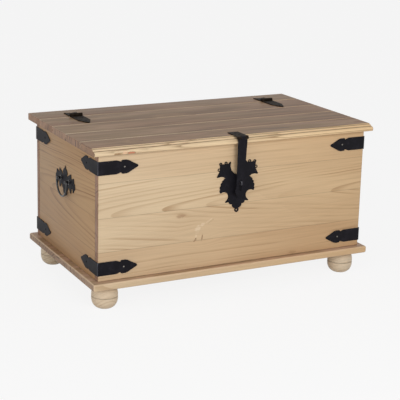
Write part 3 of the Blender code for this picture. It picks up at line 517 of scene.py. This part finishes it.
def knot_group():
    """Bends the grain round a knot, and masks the knot; Middle and Size are (along, across, through)."""
    graph, given, result = new_group(
        "knot", "ShaderNodeTree",
        [("Place", "NodeSocketVector", None), ("Middle", "NodeSocketVector", None),
         ("Size", "NodeSocketVector", None), ("Turn", "NodeSocketFloat", 0.0),
         ("Bend", "NodeSocketFloat", 0.75)],
        [("Place", "NodeSocketVector"), ("Mask", "NodeSocketFloat"), ("Rim", "NodeSocketFloat"),
         ("Halo", "NodeSocketFloat")])
    offset = graph.vector("SUBTRACT", given["Place"], given["Middle"])
    across = graph.split(offset)[1]
    turned = graph.node("ShaderNodeVectorRotate", {"Vector": offset, "Angle": given["Turn"]},
                        rotation_type="Z_AXIS").outputs[0]
    ragged = graph.noise(given["Place"], scale=KNOT_RAGGED_SCALE, detail=3.0, roughness=0.7)
    ragged = graph.maths("SUBTRACT", ragged, 0.5)

    # The distance is 1 on the knot's outline
    distance = graph.vector("LENGTH", graph.vector("DIVIDE", turned, given["Size"]))
    distance = graph.maths("MULTIPLY_ADD", ragged, KNOT_RAGGEDNESS, distance)
    near = graph.vector("LENGTH", graph.vector("DIVIDE", offset, given["Size"]))
    near = graph.rise(near, *KNOT_PUSH_RISE)
    pushed = graph.join(0.0, graph.times(across, near, given["Bend"], -1.0), 0.0)
    rim = graph.times(graph.rise(distance, *KNOT_RIM_INSIDE), graph.rise(distance, *KNOT_RIM_OUTSIDE))
    graph.feed(result["Place"], graph.vector("ADD", given["Place"], pushed))
    graph.feed(result["Mask"], graph.rise(distance, *KNOT_MASK_RISE))
    graph.feed(result["Rim"], rim)
    graph.feed(result["Halo"], graph.rise(distance, *KNOT_HALO_RISE))
    return graph.tree


PINE_GRAIN = pine_grain_group()
KNOT = knot_group()


def stepped(graph, across, joints, values):
    """A value that changes at each joint of a panel, from its first board on."""
    value = values[0]
    for joint, before, after in zip(joints, values, values[1:]):
        above = graph.maths("GREATER_THAN", across, joint)
        value = graph.maths("MULTIPLY_ADD", above, after - before, value)
    return value


def dark_lines(graph, across, stock):
    """1 along a panel's joints and, as painted shade, a foot's grooves, and 0 beside them."""
    lines = [(joint, JOINT_LINE) for joint in stock.joints]
    lines += [(groove, GROOVE_SHADE_LINE) for groove in stock.grooves]
    dark = 0.0
    for place, (outer, inner) in lines:
        line = graph.rise(graph.apart(across, place), outer, inner)
        dark = graph.maths("ADD", line, dark)
    return dark


def bent_place(graph, place, knots):
    """The place pushed round each knot in turn, and the knots with their masks."""
    marks = []
    for knot in knots:
        inputs = {"Place": place, "Middle": (knot.along, knot.across, knot.through),
                  "Size": (knot.half_length, knot.half_width, knot.half_depth),
                  "Turn": -knot.turn, "Bend": knot.bend}
        masks = graph.node("ShaderNodeGroup", inputs, node_tree=KNOT).outputs
        place = masks["Place"]
        marks.append((knot, masks))
    return place, marks


def log_grain(graph, place, luck, board, stock):
    """The grain of the part of the log that chance gives a board."""
    shift = graph.vector("MULTIPLY", luck["Color"], LOG_SHIFT)
    spread = graph.vector("SUBTRACT", luck["Color"], (0.5, 0.5, 0.5))
    spread = graph.vector("MULTIPLY", spread, PITH_SPREAD)
    centre = graph.vector("ADD", spread, (0.0, *stock.pith))
    inputs = {"Place": graph.vector("ADD", place, shift), "Pith": graph.vector("ADD", centre, shift),
              "Ring Width": board.ring, "Taper": board.climb, "Wave": stock.wave}
    return graph.node("ShaderNodeGroup", inputs, node_tree=PINE_GRAIN).outputs


def planed_colour(graph, spot, normal, grain, latewood, board, stock):
    """Early wood with latewood lines, browner on upward faces as painted shade, and warmer towards the
    right end as a painted light falloff.
    """
    # Upward faces take the darker top tones: painted shade
    upward = graph.rise(graph.split(normal)[2], *UPWARD_RISE)
    early, late = (graph.blend(upward, *pair) for pair in zip(stock.tones, stock.top))
    colour = graph.blend(latewood, early, late)
    colour = graph.stain(board.blush, colour, BLUSH)
    # Warmer and a little darker towards the right end on the non-upward faces: painted light falloff
    falloff = graph.rise(graph.split(spot)[0], *RIGHTWARD_FALLOFF_RISE)
    falloff = graph.times(falloff, graph.maths("SUBTRACT", 1.0, upward), stock.falloff_share)
    colour = graph.stain(falloff, colour, RIGHTWARD_FALLOFF_TINT)
    patch = graph.rise(grain["Patch"], *PATCH_RISE)
    patch = graph.times(patch, graph.span(upward, PATCH_ON_SIDE, PATCH_ON_TOP))
    colour = graph.stain(patch, colour, PATCH_STAIN)
    streak = graph.times(graph.rise(grain["Streak"], *STREAK_RISE), upward)
    return graph.stain(streak, colour, STREAK_STAIN)


def knotted_colour(graph, colour, marks, grain):
    """The wood with each knot's halo, core and rim."""
    for knot, masks in marks:
        colour = graph.blend(graph.times(masks["Halo"], knot.halo_share), colour, KNOT_HALO)
        core = graph.times(masks["Mask"], graph.rise(grain["Fibre"], *KNOT_FIBRE_RISE))
        colour = graph.blend(graph.times(core, knot.core_share), colour, knot.core)
        colour = graph.blend(graph.times(masks["Rim"], knot.rim_share), colour, KNOT_RIM)
    return colour


def sawn_colour(graph, colour, normal, grain, stock):
    """The wood with its sawn ends, where the rings show dark in a duller, pinker ground."""
    end_axis = tuple(1.0 if axis == stock.lie[0] else 0.0 for axis in range(3))
    facing = graph.maths("ABSOLUTE", graph.vector("DOT_PRODUCT", normal, end_axis))
    ringed = graph.blend(graph.rise(grain["Latewood"], *SAWN_RING_RISE), *stock.sawn)
    ringed = graph.stain(graph.rise(grain["Patch"], *SAWN_STAIN_RISE), ringed, SAWN_STAIN)
    share = graph.times(graph.rise(facing, *SAWN_FACE_RISE), stock.sawn_share)
    return graph.blend(share, colour, ringed)


def board_edges(graph, place, low, high, width):
    """1 on the arrises of a box and 0 a little way in, from the second nearest of its faces."""
    nearest = []
    for axis, value in enumerate(graph.split(place)):
        below = graph.maths("SUBTRACT", value, low[axis])
        above = graph.maths("SUBTRACT", high[axis], value)
        nearest.append(graph.maths("MINIMUM", below, above))
    first = graph.maths("MINIMUM", nearest[0], nearest[1])
    last = graph.maths("MAXIMUM", nearest[0], nearest[1])
    second = graph.maths("MAXIMUM", first, graph.maths("MINIMUM", last, nearest[2]))
    ragged = graph.noise(place, scale=ARRIS_RAGGED_SCALE, detail=3.0)
    second = graph.maths("MULTIPLY_ADD", graph.maths("SUBTRACT", ragged, 0.5), -width, second)
    return graph.rise(second, width, 0.0)


def pine(node, stock):
    """Waxed pine for one board, or for one panel glued up from boards that meet at the joints."""
    material, graph, shader = new_material("pine_" + node)
    low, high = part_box(node)
    where = graph.node("ShaderNodeTexCoord").outputs
    spot, normal = where["Object"], where["Normal"]
    parts = graph.split(graph.vector("SUBTRACT", spot, tuple((low + high) / 2)))
    place = graph.join(*(parts[axis] for axis in stock.lie))
    across = parts[stock.lie[1]]

    # Boards of a panel differ in look and each has its own number, which sets its part of the log
    board = Board(*(stepped(graph, across, stock.joints, values) for values in zip(*stock.boards)))
    numbers = [float(stock.seed + index) for index in range(len(stock.boards))]
    luck = graph.chance(stepped(graph, across, stock.joints, numbers))
    place, marks = bent_place(graph, place, stock.knots)
    grain = log_grain(graph, place, luck, board, stock)
    latewood = graph.times(grain["Latewood"], board.grain)

    colour = planed_colour(graph, spot, normal, grain, latewood, board, stock)
    shade = graph.times(board.tone, graph.span(grain["Fibre"], *FIBRE_SHADE),
                        graph.span(luck["Value"], *BOARD_SHADE),
                        graph.span(dark_lines(graph, across, stock), *LINE_SHADE))
    colour = graph.stain(1.0, colour, graph.join(shade, shade, shade))
    colour = knotted_colour(graph, colour, marks, grain)
    colour = sawn_colour(graph, colour, normal, grain, stock)
    # Arris lines in the arris tone: wear and painted shade, or a painted highlight on the base
    edge = graph.times(board_edges(graph, spot, low, high, stock.arris_width), stock.arris)
    colour = graph.blend(edge, colour, stock.arris_tone)

    # Latewood stands a little proud and shines more
    height = graph.maths("MULTIPLY_ADD", latewood, LATEWOOD_HEIGHT, grain["Fibre"])
    height = graph.maths("MULTIPLY_ADD", grain["Pore"], PORE_HEIGHT, height)
    rough = graph.span(grain["Fibre"], *PINE_ROUGHNESS)
    rough = graph.maths("MULTIPLY_ADD", latewood, LATEWOOD_ROUGHNESS, rough)
    graph.feed(shader.inputs["Base Color"], colour)
    graph.feed(shader.inputs["Roughness"], rough)
    graph.feed(shader.inputs["Normal"], graph.bump(height, *PINE_RELIEF))
    set_values(shader, WAX)
    return material


def iron(name, colour, roughness, metallic=0.0, shine=0.14):
    """Satin black iron: a thin uneven paint with faint mottling and fine pits."""
    material, graph, shader = new_material(name)
    spot = graph.node("ShaderNodeTexCoord").outputs["Object"]
    mottle = graph.noise(spot, scale=MOTTLE_SCALE, detail=4.0)
    grit = graph.noise(spot, scale=GRIT_SCALE, detail=2.0)
    lighter = tuple(value * MOTTLE_BRIGHTENING + MOTTLE_LIFT for value in colour[:3]) + (1.0,)
    mottled = graph.blend(graph.rise(mottle, *MOTTLE_RISE), colour, lighter)
    graph.feed(shader.inputs["Base Color"], mottled)
    rough = graph.maths("MULTIPLY_ADD", mottle, MOTTLE_ROUGHNESS, roughness)
    graph.feed(shader.inputs["Roughness"], rough)
    height = graph.maths("MULTIPLY_ADD", mottle, MOTTLE_HEIGHT, grit)
    graph.feed(shader.inputs["Normal"], graph.bump(height, *IRON_RELIEF))
    set_values(shader, {"Metallic": metallic, "Specular IOR Level": shine})
    return material


def joined(node):
    """A copy of a CAD node's loose triangles, joined to one another."""
    bm = bmesh.new()
    bm.from_mesh(frame["nodes"][node].data)
    bmesh.ops.remove_doubles(bm, verts=bm.verts, dist=MERGE_DISTANCE)
    return bm


def flat_faced(node):
    """A copy of a CAD node with each of its flat faces whole."""
    bm = joined(node)
    bmesh.ops.dissolve_limit(bm, angle_limit=FLAT_ANGLE, verts=bm.verts, edges=bm.edges)
    return bm


def as_mesh(bm, name):
    mesh = bpy.data.meshes.new(name)
    bm.to_mesh(mesh)
    bm.free()
    return mesh


def smooth(mesh):
    mesh.shade_smooth()
    mesh.set_sharp_from_angle(angle=SMOOTH_ANGLE)


def new_piece(name, mesh, *materials):
    piece = bpy.data.objects.new(name, mesh)
    bpy.context.scene.collection.objects.link(piece)
    if materials:
        mesh.materials.clear()
    for material in materials:
        mesh.materials.append(material)
    return piece


def ease_arrises(piece, width, segments=2):
    step = piece.modifiers.new("eased_arrises", "BEVEL")
    step.width = width
    step.segments = segments
    step.limit_method = "ANGLE"
    step.angle_limit = ARRIS_ANGLE
    step.harden_normals = True
    return step


def stand_in(piece, node):
    """Puts a piece in the place of a CAD node and on the same body."""
    bodies = frame["record"]["behaviour"]["bodies"]
    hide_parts(node)
    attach(piece, next(body for body, members in bodies.items() if node in members))


def plain_board(node):
    """A square-edged board that fills a CAD board's box."""
    low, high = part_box(node)
    bm = bmesh.new()
    whole = Matrix.Translation((low + high) / 2) @ Matrix.Diagonal((*(high - low), 1))
    bmesh.ops.create_cube(bm, size=1, matrix=whole)
    return bm


def nosed_board(node):
    """The lid's front board, its nosing well rounded below as on the photograph."""
    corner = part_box(node)[0]

    def near_corner(vert, reach):
        return max(vert.co.y - corner.y, vert.co.z - corner.z) < reach

    bm = flat_faced(node)
    for vert in bm.verts:
        if near_corner(vert, NOSING_CHAMFER_REACH):
            vert.co.y, vert.co.z = corner.y, corner.z
    bmesh.ops.remove_doubles(bm, verts=bm.verts, dist=MERGE_DISTANCE)
    arris = [edge for edge in bm.edges if all(near_corner(vert, MERGE_DISTANCE) for vert in edge.verts)]
    bmesh.ops.bevel(bm, geom=arris, offset=NOSING_ROUND, segments=NOSING_STEPS, profile=0.5,
                    affect="EDGES")
    return bm


def finish_board(node, stock, bm=None, edge=BOARD_EDGE, segments=2):
    """Stands in for a CAD board with the same board, or the one given, its arrises eased."""
    mesh = as_mesh(bm or flat_faced(node), node)
    smooth(mesh)
    piece = new_piece(node + "_eased", mesh, pine(node, stock))
    ease_arrises(piece, edge, segments)
    stand_in(piece, node)


def finish_boards():
    finish_board("front_panel", FRONT_STOCK)
    finish_board("back_panel", BACK_STOCK)
    finish_board("left_end_panel", LEFT_STOCK)
    finish_board("right_end_panel", RIGHT_STOCK)
    finish_board("base_board", BASE_STOCK, plain_board("base_board"), BASE_EDGE,
                 BASE_EDGE_STEPS)
    for index, (node, tone) in enumerate(TOP_BOARD_TONES.items()):
        stock = TOP_STOCK._replace(seed=TOP_STOCK.seed + index, boards=(TOP_BOARD._replace(tone=tone),),
                                   knots=LID_KNOTS.get(node, ()))
        finish_board(node, stock)
    finish_board("lid_board_front", NOSING_STOCK, nosed_board("lid_board_front"))
    finish_board("lid_batten_left", BATTEN_STOCK)
    finish_board("lid_batten_right", BATTEN_STOCK._replace(seed=BATTEN_STOCK.seed + 1))


def end_tree(graph, made, finish, result):
    """Ends a geometry tree with its copies made real and its finish put on."""
    whole = graph.node("GeometryNodeRealizeInstances", {"Geometry": made.outputs[0]}).outputs[0]
    done = graph.node("GeometryNodeSetMaterial", {"Geometry": whole, "Material": finish})
    graph.feed(result["Geometry"], done.outputs[0])


def foot_group():
    """A turned bun foot: a full ball cut flat above and below, with a fine groove round its middle."""
    graph, given, result = new_group(
        "turned_foot", "GeometryNodeTree",
        [("Radius", "NodeSocketFloat", 0.04), ("Bottom", "NodeSocketFloat", 0.0),
         ("Top", "NodeSocketFloat", 0.07), ("Cut Share", "NodeSocketFloat", 0.82),
         ("Fullness", "NodeSocketFloat", 2.0), ("Groove Width", "NodeSocketFloat", 0.002),
         ("Groove Depth", "NodeSocketFloat", 0.001), ("Steps", "NodeSocketInt", 60),
         ("Sides", "NodeSocketInt", 72), ("Finish", "NodeSocketMaterial", None)],
        [("Geometry", "NodeSocketGeometry")])
    line = graph.node("GeometryNodeMeshLine", {"Count": given["Steps"]}, mode="END_POINTS")
    graph.feed(line.inputs["Start Location"], graph.join(0.0, 0.0, given["Bottom"]))
    graph.feed(line.inputs["Offset"], graph.join(0.0, 0.0, given["Top"]))
    rail = graph.node("GeometryNodeMeshToCurve", {"Mesh": line.outputs["Mesh"]}).outputs["Curve"]

    # The level runs from -1 at the sole to 1 under the base board
    height = graph.split(graph.node("GeometryNodeInputPosition").outputs[0])[2]
    half = graph.times(graph.maths("SUBTRACT", given["Top"], given["Bottom"]), 0.5)
    above_sole = graph.maths("SUBTRACT", height, given["Bottom"])
    level = graph.maths("DIVIDE", graph.maths("SUBTRACT", above_sole, half), half)
    sine = graph.times(graph.maths("ABSOLUTE", level), given["Cut Share"])
    ball = graph.maths("SUBTRACT", 1.0, graph.maths("POWER", sine, given["Fullness"]))
    ball = graph.maths("POWER", ball, graph.maths("DIVIDE", 1.0, given["Fullness"]))
    away = graph.maths("ABSOLUTE", graph.times(level, half))
    dip = graph.maths("SUBTRACT", 1.0, graph.maths("DIVIDE", away, given["Groove Width"]), clamp=True)
    radius = graph.times(ball, given["Radius"])
    radius = graph.maths("SUBTRACT", radius, graph.times(dip, given["Groove Depth"]))

    ring = graph.node("GeometryNodeCurvePrimitiveCircle", {"Resolution": given["Sides"], "Radius": 1.0})
    turned = graph.node("GeometryNodeCurveToMesh", {"Curve": rail, "Profile Curve": ring.outputs["Curve"],
                                                    "Scale": radius, "Fill Caps": True})
    end_tree(graph, turned, given["Finish"], result)
    return graph.tree


def grown(name, tree, values, source=None):
    """Runs a geometry tree with named inputs and keeps the result as a plain mesh."""
    carrier = new_piece(name + "_source", source or bpy.data.meshes.new(name))
    step = carrier.modifiers.new("grown", "NODES")
    step.node_group = tree
    sockets = {item.name: item.identifier for item in tree.interface.items_tree if item.in_out == "INPUT"}
    for label, value in values.items():
        step[sockets[label]] = value
    settled = carrier.evaluated_get(bpy.context.evaluated_depsgraph_get())
    mesh = bpy.data.meshes.new_from_object(settled)
    mesh.name = name
    bpy.data.objects.remove(carrier)
    return mesh


def make_feet():
    tree = foot_group()
    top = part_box("base_board")[0].z - FOOT_SEAT_GAP
    feet = ("foot_front_left", "foot_front_right", "foot_back_left", "foot_back_right")
    for index, node in enumerate(feet):
        low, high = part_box(node)
        middle = (low + high) / 2
        groove = (low.z + top) / 2 - middle.z
        # The foot's groove gets a dark line: painted shade in the recess
        finish = pine(node, FOOT_STOCK._replace(seed=FOOT_STOCK.seed + index, grooves=(groove,)))
        mesh = grown(node + "_turned", tree, {"Radius": (high.x - low.x) / 2, "Bottom": low.z, "Top": top,
                                              "Finish": finish, **FOOT_SHAPE})
        for vert in mesh.vertices:
            vert.co += Vector((middle.x, middle.y, 0))
        smooth(mesh)
        stand_in(new_piece(node + "_turned", mesh), node)


def soften(node, *materials):
    """Stands in for a CAD iron with the same one, its arrises eased round in the last finish: rubbed iron
    on most, a painted highlight on the straps and gloss on the handle plates.
    """
    mesh = as_mesh(flat_faced(node), node)
    smooth(mesh)
    piece = new_piece(node + "_finished", mesh, *materials)
    ease_arrises(piece, IRON_EDGE).material = len(materials) - 1
    stand_in(piece, node)
    return piece


def round_bend(piece):
    """Gives a corner strap's outer bend a radius and leaves its other arrises fine."""
    mesh = piece.data
    corner = max((vert.co for vert in mesh.vertices), key=lambda place: abs(place.x) + abs(place.y))
    share = mesh.attributes.new("bevel_weight_edge", "FLOAT", "EDGE")
    for edge in mesh.edges:
        ends = [mesh.vertices[index].co for index in edge.vertices]
        bent = all(math.hypot(end.x - corner.x, end.y - corner.y) < MERGE_DISTANCE for end in ends)
        share.data[edge.index].value = 1.0 if bent else IRON_EDGE / BEND_RADIUS
    # The bevel takes the strap's last finish, a painted highlight
    step = piece.modifiers["eased_arrises"]
    step.limit_method = "WEIGHT"
    step.width = BEND_RADIUS
    step.segments = BEND_STEPS


def gloss_posts(piece):
    """Gives a handle plate's posts, which stand out from the plate, the finish of iron that hands rub."""
    plate_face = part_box("right_end_panel")[1].x + HANDLE_PLATE
    for face in piece.data.polygons:
        if abs(face.center.x) > plate_face + POST_ROOT:
            face.material_index = 1


def rounded_bar(node, finish, swell):
    """Stands in for a faceted round bar with a smooth one; the swell makes good what rounding takes off."""
    bm = joined(node)
    bmesh.ops.join_triangles(bm, faces=bm.faces, angle_face_threshold=BAR_FACE_ANGLE,
                             angle_shape_threshold=BAR_SHAPE_ANGLE)
    bm.normal_update()
    for vert in bm.verts:
        vert.co += vert.normal * swell
    mesh = as_mesh(bm, node)
    mesh.shade_smooth()
    piece = new_piece(node + "_rounded", mesh, finish)
    step = piece.modifiers.new("rounded", "SUBSURF")
    step.levels = 2
    step.render_levels = 2
    stand_in(piece, node)


def fastener_group():
    """Domed heads on points, each turned to the point's aim: plain for nails, slotted for screws."""
    graph, given, result = new_group(
        "domed_fasteners", "GeometryNodeTree",
        [("Geometry", "NodeSocketGeometry", None), ("Head Radius", "NodeSocketFloat", 0.003),
         ("Head Height", "NodeSocketFloat", 0.0015), ("Slot Width", "NodeSocketFloat", SLOT_WIDTH),
         ("Slot Depth", "NodeSocketFloat", 0.0), ("Seed", "NodeSocketInt", FASTENER_SEED),
         ("Finish", "NodeSocketMaterial", None)],
        [("Geometry", "NodeSocketGeometry")])

    # The head is a low dome with a flat underside, and the slot is cut by a blade wider than the head
    ball = graph.node("GeometryNodeMeshUVSphere",
                      {"Segments": HEAD_SEGMENTS, "Rings": HEAD_RINGS, "Radius": 1.0})
    x, y, z = graph.split(graph.node("GeometryNodeInputPosition").outputs[0])
    radius, height = given["Head Radius"], given["Head Height"]
    dome = graph.join(graph.times(x, radius), graph.times(y, radius),
                      graph.times(graph.maths("MAXIMUM", z, HEAD_UNDERSIDE), height))
    head = graph.node("GeometryNodeSetPosition", {"Geometry": ball.outputs["Mesh"], "Position": dome})
    head = head.outputs[0]
    blade = graph.join(graph.times(radius, SLOT_BLADE_RADII), given["Slot Width"],
                       graph.times(given["Slot Depth"], 2.0))
    cutter = graph.node("GeometryNodeMeshCube", {"Size": blade})
    raised = graph.node("GeometryNodeTransform", {"Geometry": cutter.outputs["Mesh"],
                                                  "Translation": graph.join(0.0, 0.0, height)})
    slotted = graph.node("GeometryNodeMeshBoolean", {"Mesh 1": head, "Mesh 2": raised.outputs[0]},
                         operation="DIFFERENCE", solver="EXACT").outputs["Mesh"]
    has_slot = graph.node("FunctionNodeCompare", {"A": given["Slot Depth"], "B": 0.0},
                          operation="GREATER_THAN").outputs[0]
    chosen = graph.node("GeometryNodeSwitch", {"Switch": has_slot, "False": head, "True": slotted},
                        input_type="GEOMETRY").outputs[0]

    aim = graph.node("GeometryNodeInputNamedAttribute", {"Name": "aim"}, data_type="FLOAT_VECTOR")
    facing = graph.node("FunctionNodeAlignRotationToVector", {"Vector": aim.outputs[0]}, axis="Z")
    turn = graph.node("FunctionNodeRandomValue", {2: 0.0, 3: math.pi, "Seed": given["Seed"]},
                      data_type="FLOAT").outputs[1]
    spin = graph.node("FunctionNodeAxisAngleToRotation", {"Axis": (0, 0, 1), "Angle": turn})
    placed = graph.node("FunctionNodeRotateRotation",
                        {"Rotation": facing.outputs[0], "Rotate By": spin.outputs[0]},
                        rotation_space="LOCAL").outputs[0]
    copies = graph.node("GeometryNodeInstanceOnPoints",
                        {"Points": given["Geometry"], "Instance": chosen, "Rotation": placed})
    end_tree(graph, copies, given["Finish"], result)
    return graph.tree


def make_fasteners(name, tree, spots, body, finish, radius, height, slot_depth=0.0):
    """One mesh of nails or screws on a body, from (place, aim) pairs."""
    source = bpy.data.meshes.new(name)
    source.from_pydata([place for place, aim in spots], [], [])
    aims = source.attributes.new("aim", "FLOAT_VECTOR", "POINT")
    for index, (place, aim) in enumerate(spots):
        aims.data[index].vector = aim
    mesh = grown(name, tree, {"Head Radius": radius, "Head Height": height, "Slot Width": SLOT_WIDTH,
                              "Slot Depth": slot_depth, "Seed": FASTENER_SEED, "Finish": finish}, source)
    smooth(mesh)
    piece = new_piece(name, mesh)
    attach(piece, body)


def strap_nail_spots():
    """Nails at the widest part of each corner strap's arms: on the front and back, then on the ends."""
    facing, sideways = [], []
    for node in sorted(frame["nodes"]):
        if node.startswith("corner_strap"):
            low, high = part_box(node)
            side, end = (1 if low.x > 0 else -1), (1 if low.y > 0 else -1)
            corner = Vector((high.x if side > 0 else low.x, high.y if end > 0 else low.y,
                             (low.z + high.z) / 2))
            facing.append((corner + Vector((-side * STRAP_NAIL_PLACE, 0, 0)), (0, end, 0)))
            sideways.append((corner + Vector((0, -end * STRAP_NAIL_PLACE, 0)), (side, 0, 0)))
    return facing, sideways


def leaf_screw_spots(node, rows):
    """Screws in a flat leaf, in rows that are each a distance from its end at the pin."""
    low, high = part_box(node)
    middle, face = (low.x + high.x) / 2, low.z + HINGE_PLATE
    pin_end, way = (high.y, -1) if "front" in node else (low.y, 1)
    return [(Vector((middle + offset, pin_end + way * back, face)), (0, 0, 1))
            for back, offsets in rows for offset in offsets]


def plate_nail_spots():
    """Nails in the escutcheon, then in the two handle plates."""
    low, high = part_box("escutcheon")
    half, tall = (high.x - low.x) / 2, high.z - low.z
    spots = [(Vector((across * half, low.y, low.z + up * tall)), (0, -1, 0))
             for across, up in ESCUTCHEON_NAILS]
    for node, side in (("handle_plate_left", -1), ("handle_plate_right", 1)):
        low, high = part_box(node)
        middle = (low + high) / 2
        half, tall = (high.y - low.y) / 2, high.z - low.z
        face = side * (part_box("right_end_panel")[1].x + HANDLE_PLATE)
        spots += [(Vector((face, middle.y + across * half, middle.z + up * tall)), (side, 0, 0))
                  for across, up in HANDLE_NAILS]
    return spots


def place_fasteners(bright, paint):
    tree = fastener_group()
    facing, sideways = strap_nail_spots()
    rear, front = [], []
    for side in ("left", "right"):
        rear += leaf_screw_spots("hinge_rear_leaf_" + side, REAR_LEAF_SCREWS)
        front += leaf_screw_spots("hinge_front_leaf_" + side, FRONT_LEAF_SCREWS)
    leaf_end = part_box("hasp_lid_leaf")[1]
    front += [(Vector((0, leaf_end.y - back, leaf_end.z)), (0, 0, 1)) for back in HASP_LEAF_SCREWS]
    # Front and back strap nails in bright steel and end ones in black paint: a painted glint on the same
    # nails
    make_fasteners("corner_strap_nails", tree, facing, "carcass", bright, **STRAP_NAIL)
    make_fasteners("end_strap_nails", tree, sideways, "carcass", paint, **STRAP_NAIL)
    make_fasteners("hinge_screws_behind", tree, rear, "carcass", paint, **SCREW)
    make_fasteners("lid_screws", tree, front, "lid", paint, **SCREW)
    make_fasteners("plate_nails", tree, plate_nail_spots(), "carcass", paint, **PLATE_NAIL)


def dress_iron():
    paint = iron("black_paint", tint(12, 10, 17), roughness=0.42)
    worn = iron("rubbed_iron", tint(26, 24, 32), roughness=0.34)
    # Hinge and hasp leaves: dark olive-brown, a painted reflection of the wood, with little real shine
    leaf = iron("iron_painted_wood_reflection", tint(32, 25, 18), roughness=0.48, shine=0.05)
    glossy = iron("handled_iron", tint(13, 13, 18), roughness=0.08, shine=0.7)
    steel = iron("rubbed_staple", tint(70, 70, 76), roughness=0.24, metallic=0.6, shine=0.5)
    # Light grey for the straps' bends and arrises: a painted highlight
    bend = iron("painted_highlight_bend", tint(78, 78, 86), roughness=0.30)
    # Bright steel for the front and back strap nails: a painted glint, as the same nails on the ends stay
    # black paint
    bright = iron("nail_steel_painted_glint", tint(118, 114, 108), roughness=0.30, metallic=0.8)
    for node in sorted(frame["nodes"]):
        if node.startswith("handle_plate"):
            gloss_posts(soften(node, paint, glossy))
        elif node.startswith("corner_strap"):
            round_bend(soften(node, paint, bend))
        elif "leaf" in node:
            soften(node, leaf, worn)
        elif node == "hasp_strap":
            # The hasp strap's arrises get the painted highlight too
            soften(node, paint, bend)
        elif node.startswith(("hinge_", "hasp_", "escutcheon")):
            soften(node, paint, worn)
        elif node.startswith("bail"):
            rounded_bar(node, glossy, BAIL_SWELL)
        elif node == "staple":
            rounded_bar(node, steel, STAPLE_SWELL)
    place_fasteners(bright, paint)


def background_rays(graph):
    """1 for the rays that show the background: straight to the camera, mirrored or seen through."""
    path = graph.node("ShaderNodeLightPath").outputs
    seen = graph.maths("MAXIMUM", path["Is Camera Ray"], path["Is Transmission Ray"])
    return graph.maths("MAXIMUM", seen, path["Is Glossy Ray"])


def backdrop():
    world = bpy.data.worlds.new("studio")
    bpy.context.scene.world = world
    world.use_nodes = True
    graph = Graph(world.node_tree)
    ground = world.node_tree.nodes["Background"]
    strength = graph.span(background_rays(graph), WORLD_LEVEL, BACKDROP_LEVEL)
    graph.feed(ground.inputs["Strength"], strength)
    set_values(ground, {"Color": (1.0, 1.0, 1.0, 1.0)})


def floor():
    """A pale paper floor, nearly as bright as the background, that keeps a faint shadow of the chest."""
    paper, graph, shader = new_material("floor_paper")
    set_values(shader, {"Base Color": (FLOOR_GREY, FLOOR_GREY, FLOOR_GREY, 1.0),
                        "Roughness": FLOOR_ROUGHNESS, "Specular IOR Level": 0.0})
    glow = graph.node("ShaderNodeEmission", {"Strength": FLOOR_GLOW})
    share = graph.times(background_rays(graph), FLOOR_GLOW_SHARE)
    mixed = graph.node("ShaderNodeMixShader", {0: share, 1: shader.outputs[0], 2: glow.outputs[0]})
    output = paper.node_tree.nodes["Material Output"]
    graph.feed(output.inputs["Surface"], mixed.outputs[0])
    bm = bmesh.new()
    bmesh.ops.create_grid(bm, x_segments=1, y_segments=1, size=FLOOR_SIZE / 2)
    new_piece("floor", as_mesh(bm, "floor"), paper)


def lamp(name, place, size, power):
    """A round soft light aimed at the chest's middle; size in metres and power in watts."""
    light = bpy.data.lights.new(name, "AREA")
    light.shape = "DISK"
    light.size = size
    light.energy = power
    made = bpy.data.objects.new(name, light)
    bpy.context.scene.collection.objects.link(made)
    made.location = place
    made.rotation_euler = (LAMP_AIM - Vector(place)).to_track_quat("-Z", "Y").to_euler()


def camera():
    lens = bpy.data.cameras.new("camera")
    lens.lens = CAMERA_LENS
    lens.shift_x, lens.shift_y = CAMERA_SHIFT
    made = bpy.data.objects.new("camera", lens)
    bpy.context.scene.collection.objects.link(made)
    turn = Matrix.Rotation(CAMERA_YAW, 4, "Z") @ Matrix.Rotation(math.pi / 2 - CAMERA_PITCH, 4, "X")
    turn = turn @ Matrix.Rotation(CAMERA_ROLL, 4, "Z")
    made.location = CAMERA_PLACE
    made.rotation_euler = turn.to_euler()
    bpy.context.scene.camera = made


finish_boards()
make_feet()
dress_iron()
backdrop()
floor()
lamp("key", place=(-0.25, -3.0, 1.45), size=1.7, power=39.5)
lamp("fill", place=(-3.2, -1.6, 1.2), size=1.8, power=27.0)
camera()
bpy.context.scene.view_settings.view_transform = "Standard"
